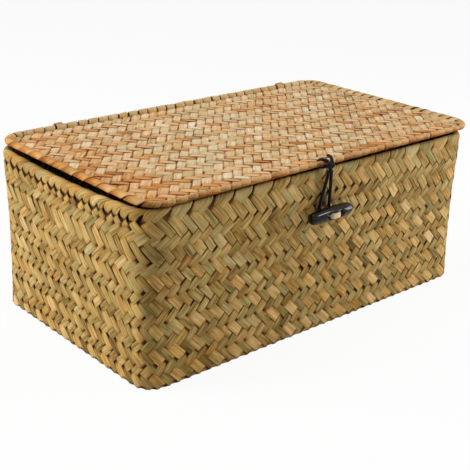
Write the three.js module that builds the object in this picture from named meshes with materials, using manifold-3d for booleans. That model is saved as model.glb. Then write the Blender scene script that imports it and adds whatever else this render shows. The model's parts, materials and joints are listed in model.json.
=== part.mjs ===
// Lidded storage basket, hand-woven from flat rush strands, closed by a horn toggle and a cord loop.
// Millimetres, +Z up, the front faces -Y. The origin is the centre of the base's underside.

import * as THREE from 'three';
import { mergeVertices } from 'three/addons/utils/BufferGeometryUtils.js';
import Module from 'manifold-3d';

const wasm = await Module();
wasm.setup();

// Basket: outside sizes in plan at the base, how the walls lean out to the rim, and the rim's height
const BASE_LENGTH = 313;
const BASE_DEPTH = 181;
const BASE_CORNER = 15;
const LEAN_LENGTH = 1; // how far each end wall leans out
const LEAN_DEPTH = 0.5; // how far the front and back walls lean out
const RIM_CORNER = 18.5;
const RIM_HEIGHT = 123.5;
const BASE_EDGE = 2.5; // radius of the fold between the base and the walls
const WAIST = 1.4; // how far the walls draw in, half way up to the straight band
const STRAIGHT_BAND = 16; // the top of the walls that stands straight
const DROP_BACK_RIGHT = 2; // how far each corner of the uneven rim lies below the rim's height
const DROP_BACK_LEFT = 1.8;
const DROP_FRONT_LEFT = 0.6;
const DROP_FRONT_RIGHT = 2.1;
const DIP_BACK = 0.5; // how far the rim sags in the middle of each side, below the line between its corners
const DIP_LEFT = 2.6;
const DIP_FRONT = 0.6;
const DIP_RIGHT = 2.6;

// Weave, rim and wires
const PLY = 1.6; // one woven ply
const WIRE = 1.8; // stiffening wire in the rim and in the lid's edge
const LIP = 10; // how far the rim's fold reaches down inside
const GAP = 0.3; // clearance between pieces that touch
const CUT_EASE = 0.08; // kept between a ring-shaped cut and the round face that it follows

// Lid
const LID_OVER_ENDS = 1; // how far the lid is longer than the rim at each end
const LID_OVER_FRONT = 1.4; // how far the lid stands out in front of the rim
const LID_CORNER = 18;
const LID_SHIFT = 2.5; // the lid sits this far to the right of the basket's middle
const LID_RECESS = 1.6; // the edge roll stands this far above the panel
const ROLL_SLIT = 40; // degrees below level at which the roll's free edge ends, under the panel

// Hinge ties
const TIE_WIDTH = 6;
const TIE_THICK = 0.9;
const TIE_LEFT_IN = 52.5; // from the rim's left end to the middle of the left tie
const TIE_RIGHT_IN = 36.5; // from the rim's right end to the middle of the right tie
const TIE_DROP = 13; // from the rim's corners down to the tie's lower end

// Toggle and its tie
const CLOSURE_X = -4.5; // toggle, knot and loop stand on this line
const TOGGLE_DROP = 31.3; // from the rim's corners down to the toggle's middle
const TOGGLE_LENGTH = 41;
const TOGGLE_RADIUS = 5;
const TOGGLE_END_RADIUS = 3.4; // the blunt ends
const TOGGLE_TILT = 2; // degrees, the right end hangs lower
const TOGGLE_STANDOFF = 4; // between the wall and the toggle's back
const STRAP_SPREAD = 6.6; // from the toggle's middle to each hole at its front
const STRAP_WIDTH = 4.6;
const STRAP_THICK = 1.2;
const STRAP_LEG = 2.2; // diameter of the straw where it passes through the toggle
const SHANK = 4.4; // diameter of the twisted straw that passes through the wall
const SHANK_OUT = 1; // how far the shank stands out in front of the wall
const STOP_KNOT = 8; // diameter of the knot inside the wall
const STOP_KNOT_FLATNESS = 0.55;

// Cord
const CORD = 2.2;
const KNOT = 5.6;
const KNOT_DROP = 1; // the knot's middle below the middle of the lid's edge roll
const COLLAR_SLACK = 0.3; // between the lid's edge roll and the cord round it
const COLLAR_START = 25; // degrees above level, in front of the roll
const COLLAR_END = 315;

// The loop's route, from the knot round the toggle's shank and back: x from the closure line,
// then the distance in front of the rim and the distance below the rim's corners
const LOOP_ROUTE = [
  [-1.4, 4.4, 1.3],
  [-1.6, 4.2, 4],
  [-2.1, 3.7, 8],
  [-2.8, 3.1, 12.5],
  [-3.5, 2.4, 17],
  [-4.2, 1.7, 21.5],
  [-4.7, 1.1, 26],
  [-4.9, 0.7, 29.9],
  [-4.2, 0.6, 32.4],
  [-2.4, 0.6, 34.3],
  [0, 0.6, 35],
  [2.4, 0.6, 34.3],
  [4.2, 0.6, 32.4],
  [4.9, 0.7, 29.9],
  [4.7, 1.1, 26],
  [4.2, 1.7, 21.5],
  [3.5, 2.4, 17],
  [2.8, 3.1, 12.5],
  [2.1, 3.7, 8],
  [1.6, 4.2, 4],
  [1.4, 4.4, 1.3],
];

// The tail's route from the knot's right side back over the lid's edge, as offsets from the knot's middle
const TAIL_ROUTE = [
  [2.6, -0.2, 2.6],
  [2.9, 1, 4.6],
  [2.8, 3.4, 5.6],
  [2.6, 5.9, 5.5],
];

// Facets
const CORNER_STEPS = 6;
const SIDE_STEPS = 5;
const WALL_STEPS = 4;
const CORD_SIDES = 8;
const WIRE_SIDES = 6;
const LOOP_STEPS = 40;
const COLLAR_STEPS = 18;
const TAIL_STEPS = 6;
const ROUND_SIDES = 16;
const EDGE_STEPS = 2;
const FOLD_STEPS = 6;
const FOLD_BORE_STEPS = 4;
const ROLL_STEPS = 14;
const ROLL_BORE_STEPS = 8;
const TIE_STEPS = 10;
const STRAP_STEPS = 6;
const TOGGLE_STEPS = 12;
const CAP_HUB = 0.3; // share of the way from a cap's middle to its edge

// Worked-out sizes: the lid covers the rim, and the rim's fold and the lid's roll each wrap a wire
const RIM_LENGTH = BASE_LENGTH + 2 * LEAN_LENGTH;
const RIM_DEPTH = BASE_DEPTH + 2 * LEAN_DEPTH;
const LID_LENGTH = RIM_LENGTH + 2 * LID_OVER_ENDS;
const LID_DEPTH = RIM_DEPTH + LID_OVER_FRONT;
const TIE_LEFT_X = TIE_LEFT_IN - RIM_LENGTH / 2;
const TIE_RIGHT_X = RIM_LENGTH / 2 - TIE_RIGHT_IN;
const TOGGLE_Z = RIM_HEIGHT - TOGGLE_DROP;
const FOLD = 2 * PLY + WIRE + 2 * GAP;
const ROLL = FOLD / 2;
const ROLL_BORE = ROLL - PLY;
const ROLL_Z = RIM_HEIGHT + GAP + ROLL;
const HINGE_Y = RIM_DEPTH / 2 - ROLL;
const LID_MIDDLE_Y = RIM_DEPTH / 2 - LID_DEPTH / 2;
const LID_FRONT_ROLL_Y = LID_MIDDLE_Y - LID_DEPTH / 2 + ROLL;
const PANEL_TOP = ROLL - LID_RECESS;
const TIE_INNER = ROLL + GAP;
const TIE_OUTER = TIE_INNER + TIE_THICK;
const WALL = 2 * PLY + GAP;
const COLLAR_RADIUS = ROLL + COLLAR_SLACK + CORD / 2;

const { lerp, degToRad } = THREE.MathUtils;
const DROPS = [DROP_BACK_RIGHT, DROP_BACK_LEFT, DROP_FRONT_LEFT, DROP_FRONT_RIGHT];
const DIPS = [DIP_BACK, DIP_LEFT, DIP_FRONT, DIP_RIGHT];
const FRONT_RIM = RIM_HEIGHT - (DROP_FRONT_LEFT + DROP_FRONT_RIGHT) / 2 - DIP_FRONT;

// A rounded rectangle as points, anticlockwise from the right side, each with the rim's dip at that place
function planLoop(length, depth, corner) {
  const x = length / 2 - corner;
  const y = depth / 2 - corner;
  const centres = [[x, y], [-x, y], [-x, -y], [x, -y]];
  const points = [];
  centres.forEach(([x0, y0], quarter) => {
    for (let i = 0; i <= CORNER_STEPS; i += 1) {
      const angle = (quarter + i / CORNER_STEPS) * Math.PI / 2;
      const dip = DROPS[quarter];
      points.push({ x: x0 + corner * Math.cos(angle), y: y0 + corner * Math.sin(angle), dip });
    }
    const next = (quarter + 1) % centres.length;
    const [x1, y1] = centres[next];
    const last = points[points.length - 1];
    for (let i = 1; i < SIDE_STEPS; i += 1) {
      const t = i / SIDE_STEPS;
      points.push({
        x: last.x + (x1 - x0) * t,
        y: last.y + (y1 - y0) * t,
        dip: lerp(DROPS[quarter], DROPS[next], t) + DIPS[quarter] * 4 * t * (1 - t),
      });
    }
  });
  return points;
}

// How far the wall draws in at a height
function waistAt(z) {
  const share = Math.min(z / (RIM_HEIGHT - STRAIGHT_BAND), 1);
  return WAIST * 4 * share * (1 - share);
}

// A loop on the basket's wall, inset from its outside, at a height that the rim's dip draws down
function wallLoop(inset, z) {
  const share = z / RIM_HEIGHT;
  const draw = inset + waistAt(z);
  const length = lerp(BASE_LENGTH, RIM_LENGTH, share) - 2 * draw;
  const depth = lerp(BASE_DEPTH, RIM_DEPTH, share) - 2 * draw;
  const corner = lerp(BASE_CORNER, RIM_CORNER, share) - draw;
  return planLoop(length, depth, corner).map((p) => new THREE.Vector3(p.x, p.y, z - p.dip * share));
}

// A loop on the lid, inset from its edge, at a height above the middle of its edge roll
function lidLoop(inset, z) {
  const loop = planLoop(LID_LENGTH - 2 * inset, LID_DEPTH - 2 * inset, LID_CORNER - inset);
  return loop.map((p) => new THREE.Vector3(p.x + LID_SHIFT, p.y + LID_MIDDLE_Y, ROLL_Z + z));
}

// Points of a round arc in a profile, as [inset, z]
function arc(inset, z, radius, from, to, steps) {
  return Array.from({ length: steps + 1 }, (_, i) => {
    const angle = degToRad(lerp(from, to, i / steps));
    return [inset + radius * Math.cos(angle), z + radius * Math.sin(angle)];
  });
}

// A closed solid through a stack of loops: capped flat at both ends, or joined end to end as a ring
function loft(loops, ring = false) {
  const count = loops[0].length;
  const points = loops.flat();
  const index = [];
  const strips = ring ? loops.length : loops.length - 1;
  for (let k = 0; k < strips; k += 1) {
    const above = k * count;
    const below = ((k + 1) % loops.length) * count;
    for (let i = 0; i < count; i += 1) {
      const j = (i + 1) % count;
      index.push(above + i, below + i, below + j, above + i, below + j, above + j);
    }
  }
  if (!ring) {
    addCap(points, index, 0, count, true);
    addCap(points, index, (loops.length - 1) * count, count, false);
  }
  const geometry = new THREE.BufferGeometry().setFromPoints(points);
  geometry.setIndex(index);
  return geometry;
}

// A flat cap as a fan from a point off the middle, so that none of its edges crosses the origin
function addCap(points, index, start, count, facesUp) {
  const loop = points.slice(start, start + count);
  const middle = loop.reduce((sum, p) => sum.add(p), new THREE.Vector3()).divideScalar(count);
  const hub = points.push(middle.lerp(loop[1], CAP_HUB)) - 1;
  for (let i = 0; i < count; i += 1) {
    const j = (i + 1) % count;
    const [a, b] = facesUp ? [i, j] : [j, i];
    index.push(hub, start + a, start + b);
  }
}

// Vertices merged by place, with the triangles that this leaves flat taken out
function closedGeometry(geometry) {
  const bare = new THREE.BufferGeometry();
  bare.setAttribute('position', geometry.getAttribute('position').clone());
  bare.setIndex(geometry.index);
  const merged = mergeVertices(bare);
  const old = merged.index.array;
  const index = [];
  for (let i = 0; i < old.length; i += 3) {
    const [a, b, c] = old.slice(i, i + 3);
    if (a !== b && b !== c && c !== a) {
      index.push(a, b, c);
    }
  }
  merged.setIndex(index);
  return merged;
}

function toSolid(geometry) {
  const closed = closedGeometry(geometry);
  return new wasm.Manifold(new wasm.Mesh({
    numProp: 3,
    vertProperties: closed.getAttribute('position').array,
    triVerts: Uint32Array.from(closed.index.array),
  }));
}

function toGeometry(solid) {
  const mesh = solid.getMesh();
  const geometry = new THREE.BufferGeometry();
  geometry.setAttribute('position', new THREE.BufferAttribute(mesh.vertProperties, 3));
  geometry.setIndex(new THREE.BufferAttribute(mesh.triVerts, 1));
  return geometry;
}

// The first shape with the others cut out of it
function cut(geometry, ...cutters) {
  return toGeometry(cutters.reduce((solid, c) => solid.subtract(toSolid(c)), toSolid(geometry)));
}

function join(...geometries) {
  return toGeometry(geometries.map(toSolid).reduce((sum, s) => sum.add(s)));
}

// A round rod between two points
function rod(from, to, radius) {
  const along = new THREE.Vector3().subVectors(to, from);
  const geometry = new THREE.CylinderGeometry(radius, radius, along.length(), ROUND_SIDES);
  const up = new THREE.Vector3(0, 1, 0);
  geometry.applyQuaternion(new THREE.Quaternion().setFromUnitVectors(up, along.clone().normalize()));
  const middle = new THREE.Vector3().addVectors(from, to).multiplyScalar(0.5);
  return geometry.translate(middle.x, middle.y, middle.z);
}

// A cord along a smooth curve through points
function cordTube(points, steps) {
  const section = new THREE.Shape();
  for (let i = 0; i < CORD_SIDES; i += 1) {
    const angle = i / CORD_SIDES * 2 * Math.PI;
    const place = [CORD / 2 * Math.cos(angle), CORD / 2 * Math.sin(angle)];
    if (i === 0) {
      section.moveTo(...place);
    } else {
      section.lineTo(...place);
    }
  }
  const extrudePath = new THREE.CatmullRomCurve3(points);
  return new THREE.ExtrudeGeometry(section, { steps, extrudePath, bevelEnabled: false });
}

// A flat shape drawn in y and z, given its thickness along x about a middle
function extrudeAlongX(shape, middleX, width) {
  const settings = { depth: width, bevelEnabled: false, curveSegments: TIE_STEPS };
  const geometry = new THREE.ExtrudeGeometry(shape, settings);
  const [x, y, z] = [new THREE.Vector3(1, 0, 0), new THREE.Vector3(0, 1, 0), new THREE.Vector3(0, 0, 1)];
  geometry.applyMatrix4(new THREE.Matrix4().makeBasis(y, z, x));
  return geometry.translate(middleX - width / 2, 0, 0);
}

// The front wall's outside at a height on the closure line
function frontWallY(z) {
  const share = z / FRONT_RIM;
  return -lerp(BASE_DEPTH, RIM_DEPTH, share) / 2 + waistAt(share * RIM_HEIGHT);
}

// Heights up a wall, from above the base's edge to the foot of the straight band
const WALL_HEIGHTS = Array.from({ length: WALL_STEPS }, (_, i) => (
  lerp(BASE_EDGE, RIM_HEIGHT - STRAIGHT_BAND, (i + 1) / WALL_STEPS)
));

// Closure: where the toggle's shank goes through the wall
const TOGGLE_Y = frontWallY(TOGGLE_Z) - TOGGLE_STANDOFF - TOGGLE_RADIUS;
const KNOT_MIDDLE = new THREE.Vector3(
  CLOSURE_X,
  LID_FRONT_ROLL_Y - ROLL - GAP - KNOT / 2,
  ROLL_Z - KNOT_DROP,
);

function shankHole() {
  const back = new THREE.Vector3(CLOSURE_X, TOGGLE_Y + TOGGLE_RADIUS, TOGGLE_Z);
  const inside = back.clone().setY(frontWallY(TOGGLE_Z) + WALL + TOGGLE_STANDOFF);
  return rod(back, inside, SHANK / 2 + GAP);
}

// Hole in the back wall for the lower end of a hinge tie
function tieHole(x) {
  const reach = 2 * TIE_OUTER + 2 * GAP;
  const hole = new THREE.BoxGeometry(TIE_WIDTH + 2 * GAP, reach, TIE_THICK + 2 * GAP);
  return hole.translate(x, HINGE_Y, RIM_HEIGHT - TIE_DROP + TIE_THICK / 2);
}

// Base and walls in one, with the strands folded over the rim and a short way down inside
function outerWeave() {
  const foldMiddle = RIM_HEIGHT - ROLL;
  const lipEnd = RIM_HEIGHT - LIP;
  const profile = [
    ...arc(BASE_EDGE, BASE_EDGE, BASE_EDGE - PLY, 270, 180, EDGE_STEPS),
    ...WALL_HEIGHTS.map((z) => [PLY, z]),
    ...arc(ROLL, foldMiddle, ROLL_BORE, 180, 0, FOLD_BORE_STEPS),
    [FOLD - PLY, lipEnd],
    [FOLD, lipEnd],
    ...arc(ROLL, foldMiddle, ROLL, 0, 180, FOLD_STEPS),
    ...WALL_HEIGHTS.toReversed().map((z) => [0, z]),
    ...arc(BASE_EDGE, BASE_EDGE, BASE_EDGE, 180, 270, EDGE_STEPS),
  ];
  const body = loft(profile.map(([inset, z]) => wallLoop(inset, z)));
  return cut(body, tieHole(TIE_LEFT_X), tieHole(TIE_RIGHT_X), shankHole());
}

// The turned-down strand ends, woven back down the walls, with their top inside the rim's fold
function innerWeave() {
  const top = RIM_HEIGHT - ROLL - WIRE / 2 - GAP;
  const outside = PLY + GAP;
  const inside = outside + PLY;
  const profile = [
    [inside, top],
    [outside, top],
    ...WALL_HEIGHTS.toReversed().map((z) => [outside, z]),
    [outside, BASE_EDGE],
    [inside, BASE_EDGE],
    ...WALL_HEIGHTS.map((z) => [inside, z]),
  ];
  const lining = loft(profile.map(([inset, z]) => wallLoop(inset, z)), true);
  return cut(lining, tieHole(TIE_LEFT_X), tieHole(TIE_RIGHT_X), shankHole());
}

// A wire's section, from its top round the outside
function wireSection(inset, z) {
  return arc(inset, z, WIRE / 2, 90, 450, WIRE_SIDES).slice(0, WIRE_SIDES);
}

function rimWire() {
  const section = wireSection(ROLL, RIM_HEIGHT - ROLL);
  return loft(section.map(([inset, z]) => wallLoop(inset, z)), true);
}

function lidRimWire() {
  return loft(wireSection(ROLL, 0).map(([inset, z]) => lidLoop(inset, z)), true);
}

// Room round the lid's back roll for a hinge tie, as a ring about the hinge line
function tieSlot(x) {
  const inner = ROLL + CUT_EASE;
  const outer = TIE_OUTER + GAP;
  const half = TIE_WIDTH / 2 + GAP;
  const section = [[inner, -half], [outer, -half], [outer, half], [inner, half], [inner, -half]];
  const ring = new THREE.LatheGeometry(section.map((p) => new THREE.Vector2(...p)), 2 * ROUND_SIDES);
  return ring.rotateZ(-Math.PI / 2).translate(x, HINGE_Y, ROLL_Z);
}

// Hole behind the lid's front roll for the cord round it
function collarHole() {
  const above = new THREE.Vector3(CLOSURE_X, LID_FRONT_ROLL_Y + COLLAR_RADIUS, ROLL_Z + ROLL);
  const below = above.clone().setZ(ROLL_Z - ROLL);
  return rod(above, below, CORD / 2 + GAP);
}

// The lid's panel, with its edge rolled over and round the wire, open along a slit under the panel
function lidTopWeave() {
  const topAngle = THREE.MathUtils.radToDeg(Math.asin(PANEL_TOP / ROLL));
  const underAngle = THREE.MathUtils.radToDeg(Math.asin((PANEL_TOP - PLY) / ROLL_BORE));
  const slitAngle = 360 - ROLL_SLIT;
  const profile = [
    ...arc(ROLL, 0, ROLL, topAngle, slitAngle, ROLL_STEPS),
    ...arc(ROLL, 0, ROLL_BORE, slitAngle, underAngle, ROLL_BORE_STEPS),
  ];
  const panel = loft(profile.map(([inset, z]) => lidLoop(inset, z)));
  return cut(panel, tieSlot(TIE_LEFT_X), tieSlot(TIE_RIGHT_X), collarHole());
}

// The lid's strand ends, woven back under the panel and clear of the hinge ties
function lidUnderWeave() {
  const inset = ROLL + TIE_OUTER + GAP;
  const top = PANEL_TOP - PLY - GAP;
  return cut(loft([lidLoop(inset, top), lidLoop(inset, top - PLY)]), collarHole());
}

// A rush strip tied round the lid's back roll, down both sides of the rim and through the wall
function hingeTie(x) {
  const bottom = RIM_HEIGHT - TIE_DROP;
  const outline = new THREE.Shape();
  outline.moveTo(HINGE_Y - TIE_OUTER, bottom);
  outline.lineTo(HINGE_Y + TIE_OUTER, bottom);
  outline.lineTo(HINGE_Y + TIE_OUTER, ROLL_Z);
  outline.absarc(HINGE_Y, ROLL_Z, TIE_OUTER, 0, Math.PI);
  outline.closePath();
  const opening = new THREE.Path();
  opening.moveTo(HINGE_Y - TIE_INNER, bottom + TIE_THICK);
  opening.lineTo(HINGE_Y + TIE_INNER, bottom + TIE_THICK);
  opening.lineTo(HINGE_Y + TIE_INNER, ROLL_Z);
  opening.absarc(HINGE_Y, ROLL_Z, TIE_INNER, 0, Math.PI);
  opening.closePath();
  outline.holes.push(opening);
  return extrudeAlongX(outline, x, TIE_WIDTH);
}

// Places on the toggle's tie, from the middle of the toggle, with the wall behind it at +y
const WALL_BEHIND = TOGGLE_RADIUS + TOGGLE_STANDOFF;
const STRAP_BACK = -TOGGLE_RADIUS - GAP;
const LEG_END = new THREE.Vector3((SHANK - STRAP_LEG) / 2, WALL_BEHIND - SHANK_OUT / 2, 0);

// One leg of the straw, from the strap in front of the toggle to the shank behind it
function strapLeg(side, radius) {
  const front = new THREE.Vector3(side * STRAP_SPREAD, STRAP_BACK - STRAP_THICK / 2, 0);
  return rod(front, new THREE.Vector3(side * LEG_END.x, LEG_END.y, 0), radius);
}

// Dark horn barrel with blunt ends and two slanting holes
function toggle() {
  const half = TOGGLE_LENGTH / 2;
  const outline = [new THREE.Vector2(0, -half)];
  for (let i = 0; i <= TOGGLE_STEPS; i += 1) {
    const angle = i / TOGGLE_STEPS * Math.PI;
    const radius = lerp(TOGGLE_END_RADIUS, TOGGLE_RADIUS, Math.sin(angle));
    outline.push(new THREE.Vector2(radius, -half * Math.cos(angle)));
  }
  outline.push(new THREE.Vector2(0, half));
  const barrel = new THREE.LatheGeometry(outline, ROUND_SIDES).rotateZ(-Math.PI / 2);
  const hole = STRAP_LEG / 2 + GAP;
  return cut(barrel, strapLeg(-1, hole), strapLeg(1, hole));
}

// Straw strap across the toggle's front, its two legs, the shank through the wall and the knot inside
function toggleTie() {
  const strap = new THREE.Shape();
  const end = STRAP_WIDTH / 2;
  strap.moveTo(-STRAP_SPREAD, -end);
  strap.lineTo(STRAP_SPREAD, -end);
  strap.absarc(STRAP_SPREAD, 0, end, -Math.PI / 2, Math.PI / 2);
  strap.lineTo(-STRAP_SPREAD, end);
  strap.absarc(-STRAP_SPREAD, 0, end, Math.PI / 2, 3 * Math.PI / 2);
  const settings = { depth: STRAP_THICK, bevelEnabled: false, curveSegments: STRAP_STEPS };
  const bridge = new THREE.ExtrudeGeometry(strap, settings);
  bridge.rotateX(Math.PI / 2).translate(0, STRAP_BACK, 0);
  const knotRadius = STOP_KNOT / 2;
  const knotY = WALL_BEHIND + WALL + GAP + knotRadius * STOP_KNOT_FLATNESS;
  const knot = new THREE.SphereGeometry(knotRadius, ROUND_SIDES, ROUND_SIDES / 2);
  knot.scale(1, STOP_KNOT_FLATNESS, 1).translate(0, knotY, 0);
  const shankStart = new THREE.Vector3(0, WALL_BEHIND - SHANK_OUT, 0);
  const shank = rod(shankStart, new THREE.Vector3(0, knotY, 0), SHANK / 2);
  return join(bridge, strapLeg(-1, STRAP_LEG / 2), strapLeg(1, STRAP_LEG / 2), shank, knot);
}

function loopCord() {
  const points = LOOP_ROUTE.map(([x, out, down]) => (
    new THREE.Vector3(CLOSURE_X + x, -RIM_DEPTH / 2 - out, RIM_HEIGHT - down)
  ));
  return cordTube(points, LOOP_STEPS);
}

function loopKnot() {
  const knot = new THREE.SphereGeometry(KNOT / 2, ROUND_SIDES, ROUND_SIDES / 2);
  return knot.translate(...KNOT_MIDDLE);
}

// The cord's turn round the lid's edge, from the knot's top over the roll, behind it and back underneath
function loopCollar() {
  const turn = arc(0, 0, COLLAR_RADIUS, COLLAR_START, COLLAR_END, COLLAR_STEPS);
  const points = turn.map(([y, z]) => new THREE.Vector3(CLOSURE_X, LID_FRONT_ROLL_Y - y, ROLL_Z + z));
  return cordTube(points, COLLAR_STEPS);
}

function loopTail() {
  const points = TAIL_ROUTE.map((offset) => new THREE.Vector3(...offset).add(KNOT_MIDDLE));
  return cordTube(points, TAIL_STEPS);
}

const RUSH_WALL = new THREE.MeshStandardMaterial({ color: '#8d7946', roughness: 0.8, metalness: 0 });
const RUSH_LID = new THREE.MeshStandardMaterial({ color: '#c4a873', roughness: 0.8, metalness: 0 });
const STRAW = new THREE.MeshStandardMaterial({ color: '#cdb287', roughness: 0.75, metalness: 0 });
const HORN = new THREE.MeshStandardMaterial({ color: '#2b2422', roughness: 0.25, metalness: 0 });
const BLACK_CORD = new THREE.MeshStandardMaterial({ color: '#1d1c20', roughness: 0.7, metalness: 0 });
const STEEL = new THREE.MeshStandardMaterial({ color: '#8c8f91', roughness: 0.4, metalness: 1 });

function named(name, geometry, material) {
  const shape = closedGeometry(geometry);
  shape.computeVertexNormals();
  const mesh = new THREE.Mesh(shape, material);
  mesh.name = name;
  return mesh;
}

const basket = new THREE.Group();
basket.add(
  named('outer_weave', outerWeave(), RUSH_WALL),
  named('inner_weave', innerWeave(), RUSH_WALL),
  named('rim_wire', rimWire(), STEEL),
  named('hinge_tie_left', hingeTie(TIE_LEFT_X), STRAW),
  named('hinge_tie_right', hingeTie(TIE_RIGHT_X), STRAW),
);

const lid = new THREE.Group();
lid.add(
  named('lid_top_weave', lidTopWeave(), RUSH_LID),
  named('lid_under_weave', lidUnderWeave(), RUSH_LID),
  named('lid_rim_wire', lidRimWire(), STEEL),
  named('loop_knot', loopKnot(), BLACK_CORD),
  named('loop_collar', loopCollar(), BLACK_CORD),
  named('loop_tail', loopTail(), BLACK_CORD),
);

const closure = new THREE.Group();
closure.position.set(CLOSURE_X, TOGGLE_Y, TOGGLE_Z);
closure.rotation.y = degToRad(TOGGLE_TILT);
closure.add(
  named('toggle', toggle(), HORN),
  named('toggle_tie', toggleTie(), STRAW),
);

const loop = new THREE.Group();
loop.add(named('loop_cord', loopCord(), BLACK_CORD));

const part = new THREE.Group();
part.add(basket, lid, closure, loop);

export default part;
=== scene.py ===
# %% [markdown]
# # A hand-woven rush basket with a hinged lid
# The basket is a box of flat rush strands in a diagonal twill. A cord loop on its lid closes over a horn
# toggle. The construction model gives every size and joint as a fixed frame. This lesson dresses that
# frame: it weaves real strands with numpy, winds the edges, ties the closure and gives each material its
# look.

# %% Frame
import json

import bpy
import numpy as np
from mathutils import Matrix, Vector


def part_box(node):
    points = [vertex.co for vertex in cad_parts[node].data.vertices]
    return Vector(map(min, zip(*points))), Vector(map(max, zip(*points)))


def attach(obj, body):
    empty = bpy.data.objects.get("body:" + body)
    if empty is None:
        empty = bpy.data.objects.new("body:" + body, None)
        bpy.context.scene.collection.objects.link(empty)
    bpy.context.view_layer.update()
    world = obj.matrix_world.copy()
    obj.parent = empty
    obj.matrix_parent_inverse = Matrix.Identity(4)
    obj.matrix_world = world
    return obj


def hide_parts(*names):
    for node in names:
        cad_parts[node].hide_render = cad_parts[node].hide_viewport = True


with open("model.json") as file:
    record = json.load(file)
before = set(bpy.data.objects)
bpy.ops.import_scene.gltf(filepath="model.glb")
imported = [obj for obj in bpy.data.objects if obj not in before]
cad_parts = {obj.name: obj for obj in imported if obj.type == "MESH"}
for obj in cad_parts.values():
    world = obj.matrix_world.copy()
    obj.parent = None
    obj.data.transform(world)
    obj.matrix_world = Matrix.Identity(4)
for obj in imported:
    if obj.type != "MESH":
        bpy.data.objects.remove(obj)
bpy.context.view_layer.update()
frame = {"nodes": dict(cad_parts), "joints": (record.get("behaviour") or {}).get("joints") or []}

MM = 0.001  # the frame is in metres and this lesson thinks in millimetres

# %% [markdown]
# ## Sizes
# The outside sizes are read from the frame's boxes and joints, so the weave always fits the construction.
# What a box can't tell, such as the corner radii, the uneven rim and the waist of the walls, is given
# here once more.

# %% Sizes
def box_mm(node):
    """A node's lowest and highest corner in millimetres."""
    return [np.array(corner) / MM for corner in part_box(node)]


JOINT_AT = {joint["name"]: np.array(joint["pos_m"]) / MM for joint in frame["joints"]}
basket_low, basket_high = box_mm("outer_weave")
lid_low, lid_high = box_mm("lid_top_weave")
_, HINGE_Y, ROLL_Z = JOINT_AT["lid_hinge"]
ROLL = lid_high[2] - ROLL_Z  # radius of the lid's edge roll and of the rim's fold
RIM_GAP = 0.3  # between the lid's roll and the rim's highest place
RIM_HEIGHT = ROLL_Z - ROLL - RIM_GAP
RIM_LENGTH, RIM_DEPTH = (basket_high - basket_low)[:2]
LID_LENGTH, LID_DEPTH = (lid_high - lid_low)[:2]
LID_MIDDLE = (lid_low + lid_high)[:2] / 2
WALL_SPREAD = (2, 1)  # how much longer and deeper the rim is than the base
BASE_LENGTH = RIM_LENGTH - WALL_SPREAD[0]
BASE_DEPTH = RIM_DEPTH - WALL_SPREAD[1]
BASE_CORNER = 15.0
RIM_CORNER = 18.5
LID_CORNER = 18.0
BASE_EDGE = 1.2  # radius of the strands' fold between base and walls
WAIST = 1.4  # how far the walls draw in, half way up to the straight band
STRAIGHT_BAND = 16.0
# how far the rim's corners hang: back right, back left, front left and front right
DROPS = np.array([2.0, 1.8, 0.6, 2.1])
DIPS = np.array([0.5, 2.6, 0.6, 2.6])  # further sag of the rim at the back, left, front and right
PANEL_TOP = 1.2  # the lid panel's face above the middle of the edge roll
print("rim %.1f x %.1f mm at %.1f mm" % (RIM_LENGTH, RIM_DEPTH, RIM_HEIGHT))
print("lid %.1f x %.1f mm" % (LID_LENGTH, LID_DEPTH))

# %% [markdown]
# ## Camera
# The viewing angle was found by fitting the box's outline to the photograph: a standard studio view from
# the front left, slightly above, with a long lens. A camera looks along its own minus Z, so its matrix
# holds the directions to its right, up and back as columns.

# %% Camera
AZIMUTH, ELEVATION, TILT = np.radians([-41.59, 21.87, 1.63])
CAMERA_DISTANCE = 764.5
SENSOR = 36
LENS = 75.93
AIM_HEIGHT = 65.0
AIM_RIGHT, AIM_UP = -4.1, -20.2  # from the aim height on the axis, in the picture's plane

level_back = np.array([np.sin(AZIMUTH), -np.cos(AZIMUTH), 0])
back = level_back * np.cos(ELEVATION) + np.array([0, 0, np.sin(ELEVATION)])
level_right = np.cross(-back, [0, 0, 1])
level_right /= np.linalg.norm(level_right)
level_up = np.cross(level_right, -back)
right = np.cos(TILT) * level_right + np.sin(TILT) * level_up
up = np.cos(TILT) * level_up - np.sin(TILT) * level_right
aim = np.array([0, 0, AIM_HEIGHT]) + AIM_RIGHT * right + AIM_UP * up

camera_data = bpy.data.cameras.new("camera")
camera_data.lens = LENS
camera_data.sensor_width = SENSOR
camera_data.clip_start = 10 * MM
camera = bpy.data.objects.new("camera", camera_data)
camera_turn = np.eye(4)
camera_turn[:3, :3] = np.stack([right, up, back], axis=1)
camera_turn[:3, 3] = (aim + back * CAMERA_DISTANCE) * MM
camera.matrix_world = Matrix(camera_turn.tolist())
bpy.context.scene.collection.objects.link(camera)
bpy.context.scene.camera = camera
print("camera at", np.round(camera_turn[:3, 3], 3))

# %% [markdown]
# ## Nodes and colours
# A finish in Blender is a tree of nodes. One small function adds a node with its values and its links, so
# each finish below reads like a recipe. Colours are written as sRGB codes, as on a colour card. Blender
# works with linear light, so one function takes the sRGB curve back.

# %% Nodes and colours
def linear(code):
    """A hex colour as linear red, green, blue and alpha: the sRGB curve taken back."""
    share = np.array([int(code[k:k + 2], 16) / 255 for k in (1, 3, 5)])
    value = np.where(share <= 0.04045, share / 12.92, ((share + 0.055) / 1.055) ** 2.4)
    return (*value.tolist(), 1.0)


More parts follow.
